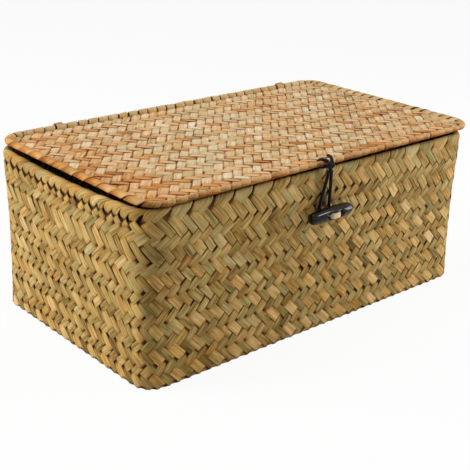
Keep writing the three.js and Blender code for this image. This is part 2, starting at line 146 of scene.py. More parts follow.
def add_node(tree, kind, values=None, links=None, stops=None, **settings):
    """Adds a node with its settings, its input values, its incoming links and its colour stops."""
    node = tree.nodes.new(kind)
    for name, value in settings.items():
        setattr(node, name, value)
    for name, value in (values or {}).items():
        node.inputs[name].default_value = value
    for name, source in (links or {}).items():
        tree.links.new(source, node.inputs[name])
    for k, (place, code) in enumerate(stops or []):
        ramp = node.color_ramp.elements
        stop = ramp[k] if k < 2 else ramp.new(place)
        stop.position = place
        stop.color = linear(code)
    return node


def new_material(name):
    """An empty node material and its tree."""
    material = bpy.data.materials.new(name)
    material.use_nodes = True
    material.node_tree.nodes.clear()
    return material, material.node_tree


print("middle grey is %.3f in linear light" % linear("#808080")[0])

# %% [markdown]
# ## White studio
# The photograph is a product shot on white. A backdrop that is lit until it is white would throw its
# light on the basket and wash it out. So the white is only for the eye: rays from the camera, or through
# mirrors and glass, see plain white, and all other rays see a soft fill. The floor keeps a little paper,
# for the shadow.

# %% World and floor
FILL = 0.185
FLOOR_SIZE = 8000.0
FLOOR_WHITE = 0.93  # share of plain white that the eye sees, the rest takes light and shadow
PLAIN_WHITE = {"Color": (1, 1, 1, 1), "Strength": 1.0}

scene = bpy.context.scene
scene.view_settings.view_transform = "Standard"


def seen_directly(tree):
    """One for rays from the camera, or through mirrors and glass, and zero for light that bounces."""
    path = add_node(tree, "ShaderNodeLightPath")
    either = add_node(tree, "ShaderNodeMath", operation="MAXIMUM",
                      links={0: path.outputs["Is Camera Ray"], 1: path.outputs["Is Glossy Ray"]})
    return add_node(tree, "ShaderNodeMath", operation="MAXIMUM",
                    links={0: either.outputs[0], 1: path.outputs["Is Transmission Ray"]}).outputs[0]


world = bpy.data.worlds.new("white_studio")
world.use_nodes = True
world_tree = world.node_tree
world_tree.nodes.clear()
white = add_node(world_tree, "ShaderNodeBackground", PLAIN_WHITE)
fill = add_node(world_tree, "ShaderNodeBackground", {"Color": linear("#f6f4f1"), "Strength": FILL})
surround = add_node(world_tree, "ShaderNodeMixShader",
                    links={0: seen_directly(world_tree), 1: fill.outputs[0], 2: white.outputs[0]})
add_node(world_tree, "ShaderNodeOutputWorld", links={"Surface": surround.outputs[0]})
scene.world = world

half = FLOOR_SIZE / 2 * MM
floor_corners = [(-half, -half, 0), (half, -half, 0), (half, half, 0), (-half, half, 0)]
floor_mesh = bpy.data.meshes.new("studio_floor")
floor_mesh.from_pydata(floor_corners, [], [(0, 1, 2, 3)])
floor = bpy.data.objects.new("studio_floor", floor_mesh)
scene.collection.objects.link(floor)
paper, paper_tree = new_material("white_paper_floor")
paper_lit = add_node(paper_tree, "ShaderNodeBsdfDiffuse", {"Color": linear("#efefee")})
paper_white = add_node(paper_tree, "ShaderNodeEmission", PLAIN_WHITE)
paper_share = add_node(paper_tree, "ShaderNodeMath", {1: FLOOR_WHITE}, operation="MULTIPLY",
                       links={0: seen_directly(paper_tree)})
paper_mix = add_node(paper_tree, "ShaderNodeMixShader",
                     links={0: paper_share.outputs[0], 1: paper_lit.outputs[0], 2: paper_white.outputs[0]})
add_node(paper_tree, "ShaderNodeOutputMaterial", links={"Surface": paper_mix.outputs[0]})
floor_mesh.materials.append(paper)
print("floor of %.0f m, fill light of %.3f" % (FLOOR_SIZE * MM, FILL))

# %% [markdown]
# ## Lamps
# The left side of the basket is lit best, the front grows brighter to the right, and the corner that
# faces the camera is darkest. Four soft boxes give that: a large one far to the left, a low one at the
# right, one above for the lid, and a small one in front that draws the bright streak on the toggle. An
# area lamp shines along its own minus Z, so it is turned like the camera.

# %% Lamps
LAMP_TARGET = np.array([0.0, 0.0, 60.0])
NEARLY_UP = [0, 0.01, 1]  # not quite upright, so that a lamp right above still has a sideways direction
LAMPS = (  # place, width and height in millimetres, and watts
    ("soft_box_left", (-1220, 760, 620), 700, 700, 19.3),
    ("soft_box_right", (800, -500, 240), 400, 400, 5.6),
    ("soft_box_front", (580, -620, 780), 240, 85, 2.3),
    ("soft_box_top", (-450, 250, 1400), 900, 900, 7.2),
)


def unit(vectors):
    """Vectors scaled to length one."""
    return vectors / np.maximum(np.linalg.norm(vectors, axis=-1, keepdims=True), 1e-9)


for name, place, width, height, watts in LAMPS:
    light = bpy.data.lights.new(name, "AREA")
    light.shape = "RECTANGLE"
    light.size = width * MM
    light.size_y = height * MM
    light.energy = watts
    away = unit(np.array(place) - LAMP_TARGET)
    sideways = unit(np.cross(NEARLY_UP, away))
    lamp_turn = np.eye(4)
    lamp_turn[:3, :3] = np.stack([sideways, np.cross(away, sideways), away], axis=1)
    lamp_turn[:3, 3] = np.array(place) * MM
    lamp = bpy.data.objects.new(name, light)
    lamp.matrix_world = Matrix(lamp_turn.tolist())
    scene.collection.objects.link(lamp)

# %% [markdown]
# ## Rush
# Rush is a dried stem, split and pressed flat. It keeps fine fibres along its length, dries in patches
# from green to straw yellow and brown, and turns orange along its cut edges. Its face is dull with a
# slight wax. A painted picture of a weave would stay flat and repeat. Here each strand carries four
# values of its own: tone is how pale the stem is, rust runs from green to orange, edge is one at a
# strand's sides, and depth says how far a strand lies under its neighbours, where painted shade darkens it.

# %% Rush
FIBRE_WIDTH = 0.95  # real fibres are finer, and would not show in the picture
FIBRE_LENGTH = 26.0
PATCH = 26.0  # size of the ripe and green patches
PATCH_SHARE = 0.3
# painted shade: the depth value picks a darkening from this ramp, darkest at DEEPEST, where a strand lies
# under its neighbours
DEEPEST = -3.0
PAINTED_SHADE_DEEP_TO_TOP = [
    (0.0, "#0b0602"), (0.4, "#160c04"), (0.58, "#3a2208"),
    (0.73, "#b08a50"), (0.82, "#eedec2"), (1.0, "#ffffff"),
]


def rush(name, green, ripe, edge_code, streak=1.6, rust_streak=1.8):
    """Split rush, dried and pressed flat: matt, streaked along the strand, from green to ripe, with cut
    edges, and with painted shade where its depth value says it lies under. Both colour lists run from dark
    to pale."""
    material, tree = new_material(name)
    tone, rust, edge, depth = (
        add_node(tree, "ShaderNodeAttribute", attribute_name=value).outputs["Fac"]
        for value in ("tone", "rust", "edge", "depth")
    )
    strand = add_node(tree, "ShaderNodeUVMap", uv_map="strand")
    stretch = add_node(tree, "ShaderNodeMapping", {"Scale": (1 / FIBRE_WIDTH, 1 / FIBRE_LENGTH, 1)},
                       {"Vector": strand.outputs["UV"]})
    fibre = add_node(tree, "ShaderNodeTexNoise", {"Scale": 1.0, "Detail": 3.0, "Roughness": 0.65},
                     {"Vector": stretch.outputs["Vector"]})
    other = add_node(tree, "ShaderNodeSeparateColor", links={"Color": fibre.outputs["Color"]})
    place = add_node(tree, "ShaderNodeTexCoord")
    patch = add_node(tree, "ShaderNodeTexNoise", {"Scale": 1 / (PATCH * MM), "Detail": 2.0},
                     {"Vector": place.outputs["Object"]})
    # the tone, plus streaks and patches that are zero on average, picks a colour from each list
    streaked = add_node(tree, "ShaderNodeMath", {1: streak}, {0: fibre.outputs["Fac"], 2: tone},
                        operation="MULTIPLY_ADD")
    patched = add_node(tree, "ShaderNodeMath", {1: PATCH_SHARE},
                       {0: patch.outputs["Fac"], 2: streaked.outputs[0]}, operation="MULTIPLY_ADD")
    centred = add_node(tree, "ShaderNodeMath", {1: -PATCH_SHARE / 2 - streak / 2}, {0: patched.outputs[0]},
                       operation="ADD")
    unripe, golden = (
        add_node(tree, "ShaderNodeValToRGB", links={"Fac": centred.outputs[0]},
                 stops=list(zip(np.linspace(0, 1, len(codes)), codes))).outputs["Color"]
        for codes in (green, ripe)
    )
    # the rust, from -1 to 1 and with streaks of its own, mixes the two
    rusty = add_node(tree, "ShaderNodeMath", {1: rust_streak}, {0: other.outputs["Green"], 2: rust},
                     operation="MULTIPLY_ADD")
    ripeness = add_node(tree, "ShaderNodeMapRange",
                        {"From Min": rust_streak / 2 - 1, "From Max": rust_streak / 2 + 1},
                        {"Value": rusty.outputs[0]})
    tinted = add_node(tree, "ShaderNodeMix", data_type="RGBA",
                      links={"Factor": ripeness.outputs[0], "A": unripe, "B": golden})
    # then come the cut edges and the painted shade between strands
    cut = add_node(tree, "ShaderNodeMapRange", {"From Min": 0.1, "To Max": 0.88}, {"Value": edge})
    edged = add_node(tree, "ShaderNodeMix", {"B": linear(edge_code)},
                     {"Factor": cut.outputs[0], "A": tinted.outputs["Result"]}, data_type="RGBA")
    sunk = add_node(tree, "ShaderNodeMapRange", {"From Min": DEEPEST}, {"Value": depth})
    shade = add_node(tree, "ShaderNodeValToRGB", links={"Fac": sunk.outputs[0]}, stops=PAINTED_SHADE_DEEP_TO_TOP)
    shaded = add_node(tree, "ShaderNodeMix", {"Factor": 1.0}, data_type="RGBA", blend_type="MULTIPLY",
                      links={"A": edged.outputs["Result"], "B": shade.outputs["Color"]})
    dull = add_node(tree, "ShaderNodeMapRange", {"To Min": 0.5, "To Max": 0.8},
                    {"Value": fibre.outputs["Fac"]})
    grain = add_node(tree, "ShaderNodeBump", {"Strength": 0.5, "Distance": 0.3 * MM},
                     {"Height": fibre.outputs["Fac"]})
    skin = add_node(tree, "ShaderNodeBsdfPrincipled", {"IOR": 1.4, "Specular IOR Level": 0.18},
                    {"Base Color": shaded.outputs["Result"], "Roughness": dull.outputs[0],
                     "Normal": grain.outputs["Normal"]})
    add_node(tree, "ShaderNodeOutputMaterial", links={"Surface": skin.outputs[0]})
    return material


# %% Rush colours
WALL_RUSH = rush("dried_rush_olive", ["#4c421b", "#756937", "#968a55", "#b0a270", "#c9ba8e"],
                 ["#5a3608", "#906323", "#b78c47", "#d1a763", "#e4c08a"], "#522704")
LID_RUSH = rush("dried_rush_pale", ["#86764b", "#af9d6f", "#cbbb91", "#dbcca8", "#ebdfc2"],
                ["#823d0c", "#be722d", "#da9d5a", "#e8b77f", "#f3d1a3"], "#8a3e0a")
EDGE_RUSH = rush("wound_rush_golden", ["#7f6a3e", "#a58d5a", "#c2a877", "#d3bd91", "#e4d2ae"],
                 ["#6e370c", "#a3621f", "#c98b41", "#dba968", "#eac792"], "#6f3a10", streak=1.1)
STRAW = rush("pale_straw", ["#94825e", "#c0ae8a", "#ddd0b4", "#eee5d2"],
             ["#977546", "#c4a878", "#e2cfab", "#f0e4cc"], "#b48a52", streak=0.8, rust_streak=0.8)
print("rush materials:", [material.name for material in (WALL_RUSH, LID_RUSH, EDGE_RUSH, STRAW)])

# %% [markdown]
# ## Polished horn
# The toggle is a piece of horn, turned and polished: near black with brown streaks along it and a clear
# gloss, and its holes are darkened with painted shade. One even colour would look like plastic. So noise is
# stretched along the barrel to the size of real streaks, and a value on the mesh, called mouth, says where
# a hole takes the gloss away and where the painted shade goes.

# %% Horn
HORN_STREAKS = (60, 520, 520)  # in a metre along and across the barrel: 17 mm long and 2 mm wide


def horn():
    """Polished horn: streaks stretched along the barrel, a clear gloss that ends at the holes, and painted
    shade in the holes.
    """
    material, tree = new_material("polished_dark_horn")
    place = add_node(tree, "ShaderNodeTexCoord")
    stretch = add_node(tree, "ShaderNodeMapping", {"Scale": HORN_STREAKS},
                       {"Vector": place.outputs["Object"]})
    streak = add_node(tree, "ShaderNodeTexNoise", {"Scale": 1.0, "Detail": 4.0, "Distortion": 0.6},
                      {"Vector": stretch.outputs["Vector"]})
    colour = add_node(tree, "ShaderNodeValToRGB", links={"Fac": streak.outputs["Fac"]},
                      stops=[(0.4, "#120906"), (0.58, "#20130d"), (0.8, "#40291c")])
    mouth = add_node(tree, "ShaderNodeAttribute", attribute_name="mouth").outputs["Fac"]
    dull = add_node(tree, "ShaderNodeMath", {1: 0.2}, {0: streak.outputs["Fac"], 2: mouth},
                    operation="MULTIPLY_ADD")
    # painted shade: the mouth value darkens a hole to near black
    painted_hole_shade = add_node(tree, "ShaderNodeMix", {"B": linear("#050303")},
                     {"Factor": mouth, "A": colour.outputs["Color"]}, data_type="RGBA")
    skin = add_node(tree, "ShaderNodeBsdfPrincipled", {"IOR": 1.5, "Specular IOR Level": 0.2},
                    {"Base Color": painted_hole_shade.outputs["Result"], "Roughness": dull.outputs[0]})
    add_node(tree, "ShaderNodeOutputMaterial", links={"Surface": skin.outputs[0]})
    return material


HORN = horn()
print("toggle finish:", HORN.name)

# %% [markdown]
# ## Black cotton
# The cord is twisted cotton: dull, with a painted sheen that makes the crest of each yarn paler. A pattern
# painted on a smooth tube would not follow the twist. So the mesh carries a value, called yarn, that is one
# on each crest, and the fluff only breaks it up.

# %% Cotton
FLUFF = 1 / 3  # real fluff is finer, and would not show in the picture


def cotton():
    """Twisted black cotton: the yarn value is one on a crest, where the colour is painted paler as a sheen,
    and fluff breaks it up.
    """
    material, tree = new_material("twisted_black_cotton")
    yarn = add_node(tree, "ShaderNodeAttribute", attribute_name="yarn").outputs["Fac"]
    strand = add_node(tree, "ShaderNodeUVMap", uv_map="strand")
    fluff = add_node(tree, "ShaderNodeTexNoise", {"Scale": 1 / FLUFF, "Detail": 2.0},
                     {"Vector": strand.outputs["UV"]})
    # painted sheen: the colour grows paler towards a yarn's crest
    level = add_node(tree, "ShaderNodeMath", {1: 0.4}, {0: fluff.outputs["Fac"], 2: yarn},
                     operation="MULTIPLY_ADD")
    colour = add_node(tree, "ShaderNodeValToRGB", links={"Fac": level.outputs[0]},
                      stops=[(0.2, "#040405"), (0.9, "#0d0e11"), (1.0, "#191b21")])
    skin = add_node(tree, "ShaderNodeBsdfPrincipled", {"Roughness": 0.85, "IOR": 1.3},
                    {"Base Color": colour.outputs["Color"]})
    add_node(tree, "ShaderNodeOutputMaterial", links={"Surface": skin.outputs[0]})
    return material


COTTON = cotton()
print("cord finish:", COTTON.name)

# %% [markdown]
# ## Steel wire
# The wires that stiffen the rims are plain drawn steel. They lie inside the rush and are already good
# solids in the construction frame. So they keep those solids and only get their finish: grey metal with
# faint scuffs.

# %% Steel
SCUFF = 2.5


def drawn_steel():
    """Drawn steel wire: grey metal with faint scuffs."""
    material, tree = new_material("drawn_steel_wire")
    place = add_node(tree, "ShaderNodeTexCoord")
    scuff = add_node(tree, "ShaderNodeTexNoise", {"Scale": 1 / (SCUFF * MM), "Detail": 2.0},
                     {"Vector": place.outputs["Object"]})
    dull = add_node(tree, "ShaderNodeMapRange", {"To Min": 0.3, "To Max": 0.5},
                    {"Value": scuff.outputs["Fac"]})
    colour = add_node(tree, "ShaderNodeValToRGB", links={"Fac": scuff.outputs["Fac"]},
                      stops=[(0.3, "#85888a"), (0.7, "#a2a5a7")])
    skin = add_node(tree, "ShaderNodeBsdfPrincipled", {"Metallic": 1.0},
                    {"Base Color": colour.outputs["Color"], "Roughness": dull.outputs[0]})
    add_node(tree, "ShaderNodeOutputMaterial", links={"Surface": skin.outputs[0]})
    return material


STEEL = drawn_steel()
for node in ("rim_wire", "lid_rim_wire"):
    frame["nodes"][node].data.materials.clear()
    frame["nodes"][node].data.materials.append(STEEL)
print("wire finish:", STEEL.name)

# %% [markdown]
# ## Putting a numpy shape into a mesh
# Every piece below is worked out as whole arrays: a stack of rings, each with the same number of corners.
# A curve with a bevel could make a strand too, but not one that bends with a surface. One function turns
# any number of such tubes into one closed mesh. It gives the mesh a map in millimetres, for patterns that
# run along a strand, and a second map that packs each strand as its own strip for baking.

# %% Faces of a tube
def tube_quads(rings, corners, closed):
    """Ring and corner numbers of one tube's quads: its side, and then a fan over each end unless it is
    closed."""
    steps = rings if closed else rings - 1
    ring, corner = np.meshgrid(np.arange(steps), np.arange(corners), indexing="ij")
    side = np.stack([
        np.stack([ring, ring, ring + 1, ring + 1], -1),
        np.stack([corner, corner + 1, corner + 1, corner], -1),
    ], -1).reshape(-1, 4, 2)
    fan = np.array([[0, k + 1, k + 2, k + 3] for k in range(0, corners - 2, 2)])
    first = np.stack([0 * fan, fan[:, ::-1]], -1)
    last = np.stack([0 * fan + rings - 1, fan], -1)
    caps = np.concatenate([first, last])
    return side, caps[:0] if closed else caps


print("a plain tube of six corners has %d faces" % sum(map(len, tube_quads(2, 6, closed=False))))

# %% Maps of a strand
STREAK_SHIFT = 173.0  # millimetres from one strand's map to the next, so that no two share a streak
STRIP_WIDTH = 0.92  # share of its column that a strip fills
CAP_SHARE = 0.02  # of a strip's length, kept for each end
CAP_FILL = 0.9  # how much of that an end takes up
STRIP_LENGTH = 1 - 2.4 * CAP_SHARE  # leaves room for both ends and a gap
DISC_MIDDLE, DISC_RADIUS = 0.5, 0.4


def strip_maps(side, caps, steps, corners, lengths, girths):
    """Two maps, one value per face corner: millimetres round and along a strand, and a packed strip per
    strand. An end is a disc of about a millimetre in the first map, and a flat disc above the strip in
    the second."""
    tubes = len(lengths)
    tube = np.arange(tubes)[:, None, None]
    share = np.stack([side[..., 1] / corners, side[..., 0] / steps], -1)[None]
    angle = 2 * np.pi * caps[..., 1] / corners
    disc = DISC_MIDDLE + DISC_RADIUS * np.stack([np.cos(angle), np.sin(angle)], -1)[None]
    far = np.stack([0.0 * tube, STREAK_SHIFT * tube], -1)
    size = np.stack([girths, lengths], -1)[:, None, None]
    along = np.concatenate([share * size + far, disc + far], axis=1)
    low = 1 - 2 * CAP_SHARE + CAP_SHARE * (caps[..., 0] > 0)
    column = np.stack([tube / tubes, 0.0 * tube], -1)
    narrow = np.array([STRIP_WIDTH / tubes, 1.0])
    cap_strip = disc * [1, CAP_FILL * CAP_SHARE] + np.stack([0 * low, low], -1)[None]
    strips = np.concatenate([
        column + narrow * share * [1, STRIP_LENGTH],
        column + narrow * cap_strip,
    ], axis=1)
    return along.reshape(-1, 4, 2), strips.reshape(-1, 4, 2)


# %% Piece from rings
def piece_from_rings(name, rings, attributes=None, closed=False):
    """A closed mesh piece from an array of tubes x rings x corners x 3 in millimetres. The faces are
    turned to point outwards by the sign of the volume, which is a sum of triple products over the
    faces."""
    tubes, count, corners, _ = rings.shape
    side, caps = tube_quads(count, corners, closed)
    quads = np.concatenate([side, caps])
    one = quads[..., 0] % count * corners + quads[..., 1] % corners
    faces = (one[None] + (np.arange(tubes) * count * corners)[:, None, None]).reshape(-1, 4)
    points = rings.reshape(-1, 3)
    a, b, c, d = (points[faces[:, k]] for k in range(4))
    volume = np.einsum("ij,ij->", a, np.cross(b, c)) + np.einsum("ij,ij->", a, np.cross(c, d))
    lengths = np.linalg.norm(np.diff(rings.mean(2), axis=1), axis=-1).sum(1)
    girths = np.linalg.norm(rings - np.roll(rings, 1, axis=2), axis=-1).sum(2).mean(1)
    maps = strip_maps(side, caps, count if closed else count - 1, corners, lengths, girths)
    turn = 1 if volume > 0 else -1
    faces = faces[:, ::turn]
    mesh = bpy.data.meshes.new(name)
    mesh.vertices.add(len(points))
    mesh.vertices.foreach_set("co", (points * MM).ravel())
    mesh.loops.add(faces.size)
    mesh.loops.foreach_set("vertex_index", faces.astype(np.int32).ravel())
    mesh.polygons.add(len(faces))
    mesh.polygons.foreach_set("loop_start", np.arange(0, faces.size, 4, dtype=np.int32))
    mesh.polygons.foreach_set("use_smooth", np.ones(len(faces), dtype=bool))
    mesh.update(calc_edges=True)
    for map_name, values in zip(("strand", "OFBake"), maps):
        layer = mesh.uv_layers.new(name=map_name)
        layer.data.foreach_set("uv", values[:, ::turn].astype(np.float32).ravel())
    for attribute, values in (attributes or {}).items():
        spread = np.broadcast_to(values, rings.shape[:3]).astype(np.float32)
        mesh.attributes.new(attribute, "FLOAT", "POINT").data.foreach_set("value", spread.ravel())
    piece = bpy.data.objects.new(name, mesh)
    scene.collection.objects.link(piece)
    print(name, "%d strands, %d triangles" % (tubes, 2 * len(faces)))
    return piece


# %% [markdown]
# ## From a piece to the frame
# A finished piece still has to take its place in the construction. It moves with one of the frame's
# bodies, it stands in for one of its plain solids, and its slot says which pieces share a material. Doing
# that by hand for every piece would be easy to forget, so one function does it all.

# %% Place in the frame
def dress(piece, material, body, node):
    """Gives a piece its material, lets it move with a body, and puts it in the place of a construction
    node."""
    piece.data.materials.append(material)
    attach(piece, body)
    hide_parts(node)


# %% [markdown]
# ## How a strand lies on a surface
# A pressed strand has a flat face, slightly rounded sides and a cut edge. It is laid on a curved surface
# like a ribbon: each corner of its section is put on the surface beside the strand's middle line, and
# then lifted along the surface's normal there. So a strand bends with a tight rim and never stands off
# it. A section is two rows: places across the strand, in half widths, and heights, in thicknesses.

# %% Strand sections
STRAND_THICK = 0.7
FLAT = (np.array([-1, -0.95, -0.82, 0.82, 0.95, 1]), np.array([-0.5, 0.4, 0.5, 0.5, 0.4, -0.5]))
CUT = (np.array([-1, -0.93, -0.7, 0.7, 0.93, 1]), FLAT[1])  # a wider cut edge
EVEN = (  # for strands that are seen from both sides
    np.array([-1, -0.6, 0.6, 1, 0.6, -0.6]),
    np.array([0, 0.46, 0.46, 0, -0.46, -0.46]),
)
BROAD = (  # for strands that bend round a roll
    np.array([-1, -0.95, -0.82, -0.4, 0, 0.4, 0.82, 0.95, 1, 0]),
    np.array([-0.5, 0.4, 0.5, 0.5, 0.5, 0.5, 0.5, 0.4, -0.5, -0.5]),
)
print("a flat section has %d corners and a broad one %d" % (len(FLAT[0]), len(BROAD[0])))

# %% Laying strands
SEED = 7
FLOOR_GAP = 0.02  # so that no strand dips into the floor
CUT_FROM = 0.85  # half widths from the middle to the cut edge
rng = np.random.default_rng(SEED)


def surface_frame(surface, u, v, step=0.3):
    """A surface's points and outward normals: the cross product of its slopes along both coordinates."""
    slope_u = surface(u + step, v) - surface(u - step, v)
    slope_v = surface(u, v + step) - surface(u, v - step)
    return surface(u, v), unit(np.cross(slope_u, slope_v))


def lay(surface, u, v, width, lift, tilt, thick, section):
    """Rings of strands on a surface. The side of a strand is its direction turned a quarter in the
    surface's own coordinates, to the right of its travel. lift raises the whole strand. tilt raises its
    right side and lowers its left."""
    across, rise = section
    du = np.gradient(u, axis=-1)
    dv = np.gradient(v, axis=-1)
    reach = (width / 2 / np.hypot(du, dv))[..., None] * across
    beside_u = u[..., None] + dv[..., None] * reach
    beside_v = v[..., None] - du[..., None] * reach
    points, normals = surface_frame(surface, beside_u, beside_v)
    height = lift[..., None] + tilt[..., None] * across + thick * rise
    rings = points + normals * height[..., None]
    rings[..., 2] = np.maximum(rings[..., 2], FLOOR_GAP)
    return rings


def strand_values(tone, rust, depth, worn, across):
    """The four values that the rush material reads. A cut edge is stronger on some strands than on
    others."""
    strength = (1 - worn[..., None]) * (0.5 + 0.5 * rng.random((len(tone), 1, 1)))
    return {"tone": tone[..., None], "rust": rust[..., None], "depth": depth[..., None],
            "edge": strength * (np.abs(across) > CUT_FROM)}


def woven(name, surface, u, v, lift, width, tone, rust, depth,
          tilt=0.0, worn=0.0, thick=STRAND_THICK, section=FLAT):
    """A piece of many strands laid on a surface, with their values."""
    v = v + 0 * u
    fields = [np.broadcast_to(field, u.shape) for field in (width, lift, tilt)]
    rings = lay(surface, u, v, *fields, thick, section)
    looks = [np.broadcast_to(field, u.shape) for field in (tone, rust, depth, worn)]
    return piece_from_rings(name, rings, strand_values(*looks, section[0]))


# %% [markdown]
# ## How a strand goes over and under
# In a two by two twill each strand passes over two strands of the other family and then under two, and
# every strand is one step along from its neighbour. On this basket that makes level rows: a row of rising
# floats, then a row of falling floats. So one phase, counted in crossings up the wall, drives both
# families, and the falling ones are half a turn behind. A hand-woven strand keeps its own colour along
# its length, and its floats differ a little, so most values below have a usual part and a random part.

# %% Over and under
FLATNESS = 3.2  # a straight strand that bends only where it crosses


def wave(phase, skew=0.0, longer=0.0):
    """One for a strand on top and minus one below: a sine of four crossings, flattened. skew moves the
    crest of each float towards its start, as a second sine of half the length does. longer lengthens the
    floats."""
    turn = np.pi * phase / 2
    return np.tanh(FLATNESS * (np.sin(turn) + skew * np.sin(2 * turn) + longer)) / np.tanh(FLATNESS)


def smooth_step(value, low, high):
    """Zero below low, one above high and an S-curve between."""
    share = np.clip((value - low) / (high - low), 0, 1)
    return share * share * (3 - 2 * share)


on_top = wave(np.linspace(0, 2, 101)) > 0.9
print("a float lies flat for %.0f%% of its length" % (100 * on_top.mean()))

# %% Hand-made differences
# millimetres over which a strand's colour, width and route drift
COLOUR_RUN, WIDTH_RUN, ROUTE_RUN = 45, 24, 15
FLOAT_LIMIT = 1.5  # the most unusual float, in standard deviations


def drift(count, place, step):
    """Smooth random values from -1 to 1 along each of count strands: random knots every step, joined by
    an S-curve."""
    at = (place - place.min()) / step
    knot = np.floor(at).astype(int)
    share = smooth_step(at - knot, 0, 1)
    values = 2 * rng.random((count, knot.max() + 2)) - 1
    row = np.arange(count)[:, None]
    return values[row, knot] * (1 - share) + values[row, knot + 1] * share


def by_float(phase):
    """A normal random value for each float of each strand. A float runs from one lowest place to the
    next."""
    index = np.floor((phase + 1) / 4).astype(int)
    index = index - index.min()
    values = rng.standard_normal((len(phase), index.max() + 1))
    return np.take_along_axis(values, index, axis=1)


def hand_pull(phase, share):
    """A factor near one for each float, because no two floats are pulled equally tight."""
    return 1 + share * np.clip(by_float(phase), -FLOAT_LIMIT, FLOAT_LIMIT)


def mixed(phase, place, usual, strand, single, slow):
    """A usual value that varies from strand to strand, from float to float and slowly along each
    strand."""
    count = len(phase)
    own = rng.standard_normal((count, 1))
    return usual + strand * own + single * by_float(phase) + slow * drift(count, place, COLOUR_RUN)


def hidden_looks(phase, place, pale, ripe, single=0.08, slow=0.1):
    """Tone and rust of strands that lie inside, out of the sun."""
    tone = mixed(phase, place, pale, strand=0.1, single=single, slow=slow)
    rust = mixed(phase, place, ripe, strand=0.2, single=0.1, slow=0.2)
    return tone, np.clip(rust, -1, 1)


# %% [markdown]
# ## The wall's surface
# The walls are a rounded rectangle in plan that leans out a little, draws in at the waist and sags
# unevenly at the rim. One coordinate runs round it, anticlockwise from above, which is left to right seen
# from outside. The other climbs: from under the base, round its edge, up the wall, over the rim's fold
# and down inside. All strands of the walls lie on this one function, so they fit each other whatever its
# sizes are.

# %% Runs round the wall
MIDDLE_CORNER = (BASE_CORNER + RIM_CORNER) / 2
LONG_RUN = (BASE_LENGTH + RIM_LENGTH) / 2 - 2 * MIDDLE_CORNER
SHORT_RUN = (BASE_DEPTH + RIM_DEPTH) / 2 - 2 * MIDDLE_CORNER
CORNER_RUN = np.pi / 2 * MIDDLE_CORNER
RUNS = np.array([CORNER_RUN, LONG_RUN, CORNER_RUN, SHORT_RUN] * 2)
RUN_STARTS = np.concatenate([[0], np.cumsum(RUNS)])
FRONT_RUN = 5  # the front's straight side in the list of runs
GIRTH = RUN_STARTS[-1]
CORNER_SIGNS = np.array([[1, 1], [-1, 1], [-1, -1], [1, -1]])
FOLD_START = RIM_HEIGHT - ROLL
FOLD_END = FOLD_START + np.pi * ROLL
EDGE_RUN = np.pi / 2 * BASE_EDGE
print("girth of the walls %.0f mm" % GIRTH)


def place_in_run(around):
    """Which quarter a place lies in, how far round its corner, and how far along the straight side after
    it."""
    around = around % GIRTH
    run = np.clip(np.searchsorted(RUN_STARTS, around, side="right") - 1, 0, len(RUNS) - 1)
    share = (around - RUN_STARTS[run]) / RUNS[run]
    straight = run % 2 == 1
    return run // 2, np.where(straight, 1.0, share), np.where(straight, share, 0.0)


def by_side(values, around):
    """Values for the back, left, front and right, blended round the corners."""
    quarter, turn, _ = place_in_run(around)
    share = smooth_step(turn, 0, 1)
    values = np.array(values)
    return values[quarter - 1] * (1 - share) + values[quarter] * share


def rounded_plan(around, length, depth, corner):
    """A point on a rounded rectangle: a corner's middle slides along the side while its radius turns at
    the ends."""
    quarter, turn, slide = place_in_run(around)
    reach = np.stack(np.broadcast_arrays(length / 2 - corner, depth / 2 - corner), -1)
    from_sign, to_sign = CORNER_SIGNS[quarter], CORNER_SIGNS[(quarter + 1) % 4]
    middle = from_sign * (1 - slide)[..., None] + to_sign * slide[..., None]
    angle = (quarter + turn) * np.pi / 2
    ray = np.stack([np.cos(angle), np.sin(angle)], -1)
    return middle * reach + ray * np.asarray(corner)[..., None]


# %% Wall surface
def wall_profile(climb):
    """Inset and height for a climb: the base, a quarter round, the wall, a half round over the rim, and
    the lip."""
    under = np.clip((BASE_EDGE - climb) / BASE_EDGE, 0, np.pi / 2)
    over = np.clip((climb - FOLD_START) / ROLL, 0, np.pi)
    beneath = np.maximum(BASE_EDGE - EDGE_RUN - climb, 0)
    inside = np.maximum(climb - FOLD_END, 0)
    inset = BASE_EDGE * (1 - np.cos(under)) + beneath + ROLL * (1 - np.cos(over))
    upright = np.clip(climb, BASE_EDGE, FOLD_START)
    return inset, upright - BASE_EDGE * np.sin(under) + ROLL * np.sin(over) - inside


def wall_point(around, climb):
    """A point on the wall's outside. The waist is a parabola, and the rim hangs by a line from corner to
    corner and a parabola along each side."""
    inset, height = wall_profile(climb)
    share = height / RIM_HEIGHT
    rise = np.minimum(height / (RIM_HEIGHT - STRAIGHT_BAND), 1)
    draw = inset + WAIST * 4 * rise * (1 - rise)
    length = BASE_LENGTH + (RIM_LENGTH - BASE_LENGTH) * share - 2 * draw
    depth = BASE_DEPTH + (RIM_DEPTH - BASE_DEPTH) * share - 2 * draw
    corner = BASE_CORNER + (RIM_CORNER - BASE_CORNER) * share - draw
    plan = rounded_plan(around, length, depth, np.maximum(corner, 1))
    quarter, _, slide = place_in_run(around)
    drop = DROPS[quarter] * (1 - slide) + DROPS[(quarter + 1) % 4] * slide
    sag = drop + DIPS[quarter] * 4 * slide * (1 - slide)
    return np.concatenate([plan, (height - sag * share)[..., None]], -1)


rim_top = wall_point(RUN_STARTS[FRONT_RUN:FRONT_RUN + 1], FOLD_START + np.pi / 2 * ROLL)
print("rim's top at the front's left end:", np.round(rim_top[0], 1))

# %% [markdown]
# ## The wall's twill
# The strands are counted round the wall, and the rows up it. A woven row is never quite level: it
# wanders, it shifts a little from side to side, and the top row is stretched where the strands
# straighten. All that is in the phase, so both families still meet. Near the top the strands swing
# sideways with each float, which makes the floats of one family steeper. Moving finished strands about
# instead would tear the crossings apart.

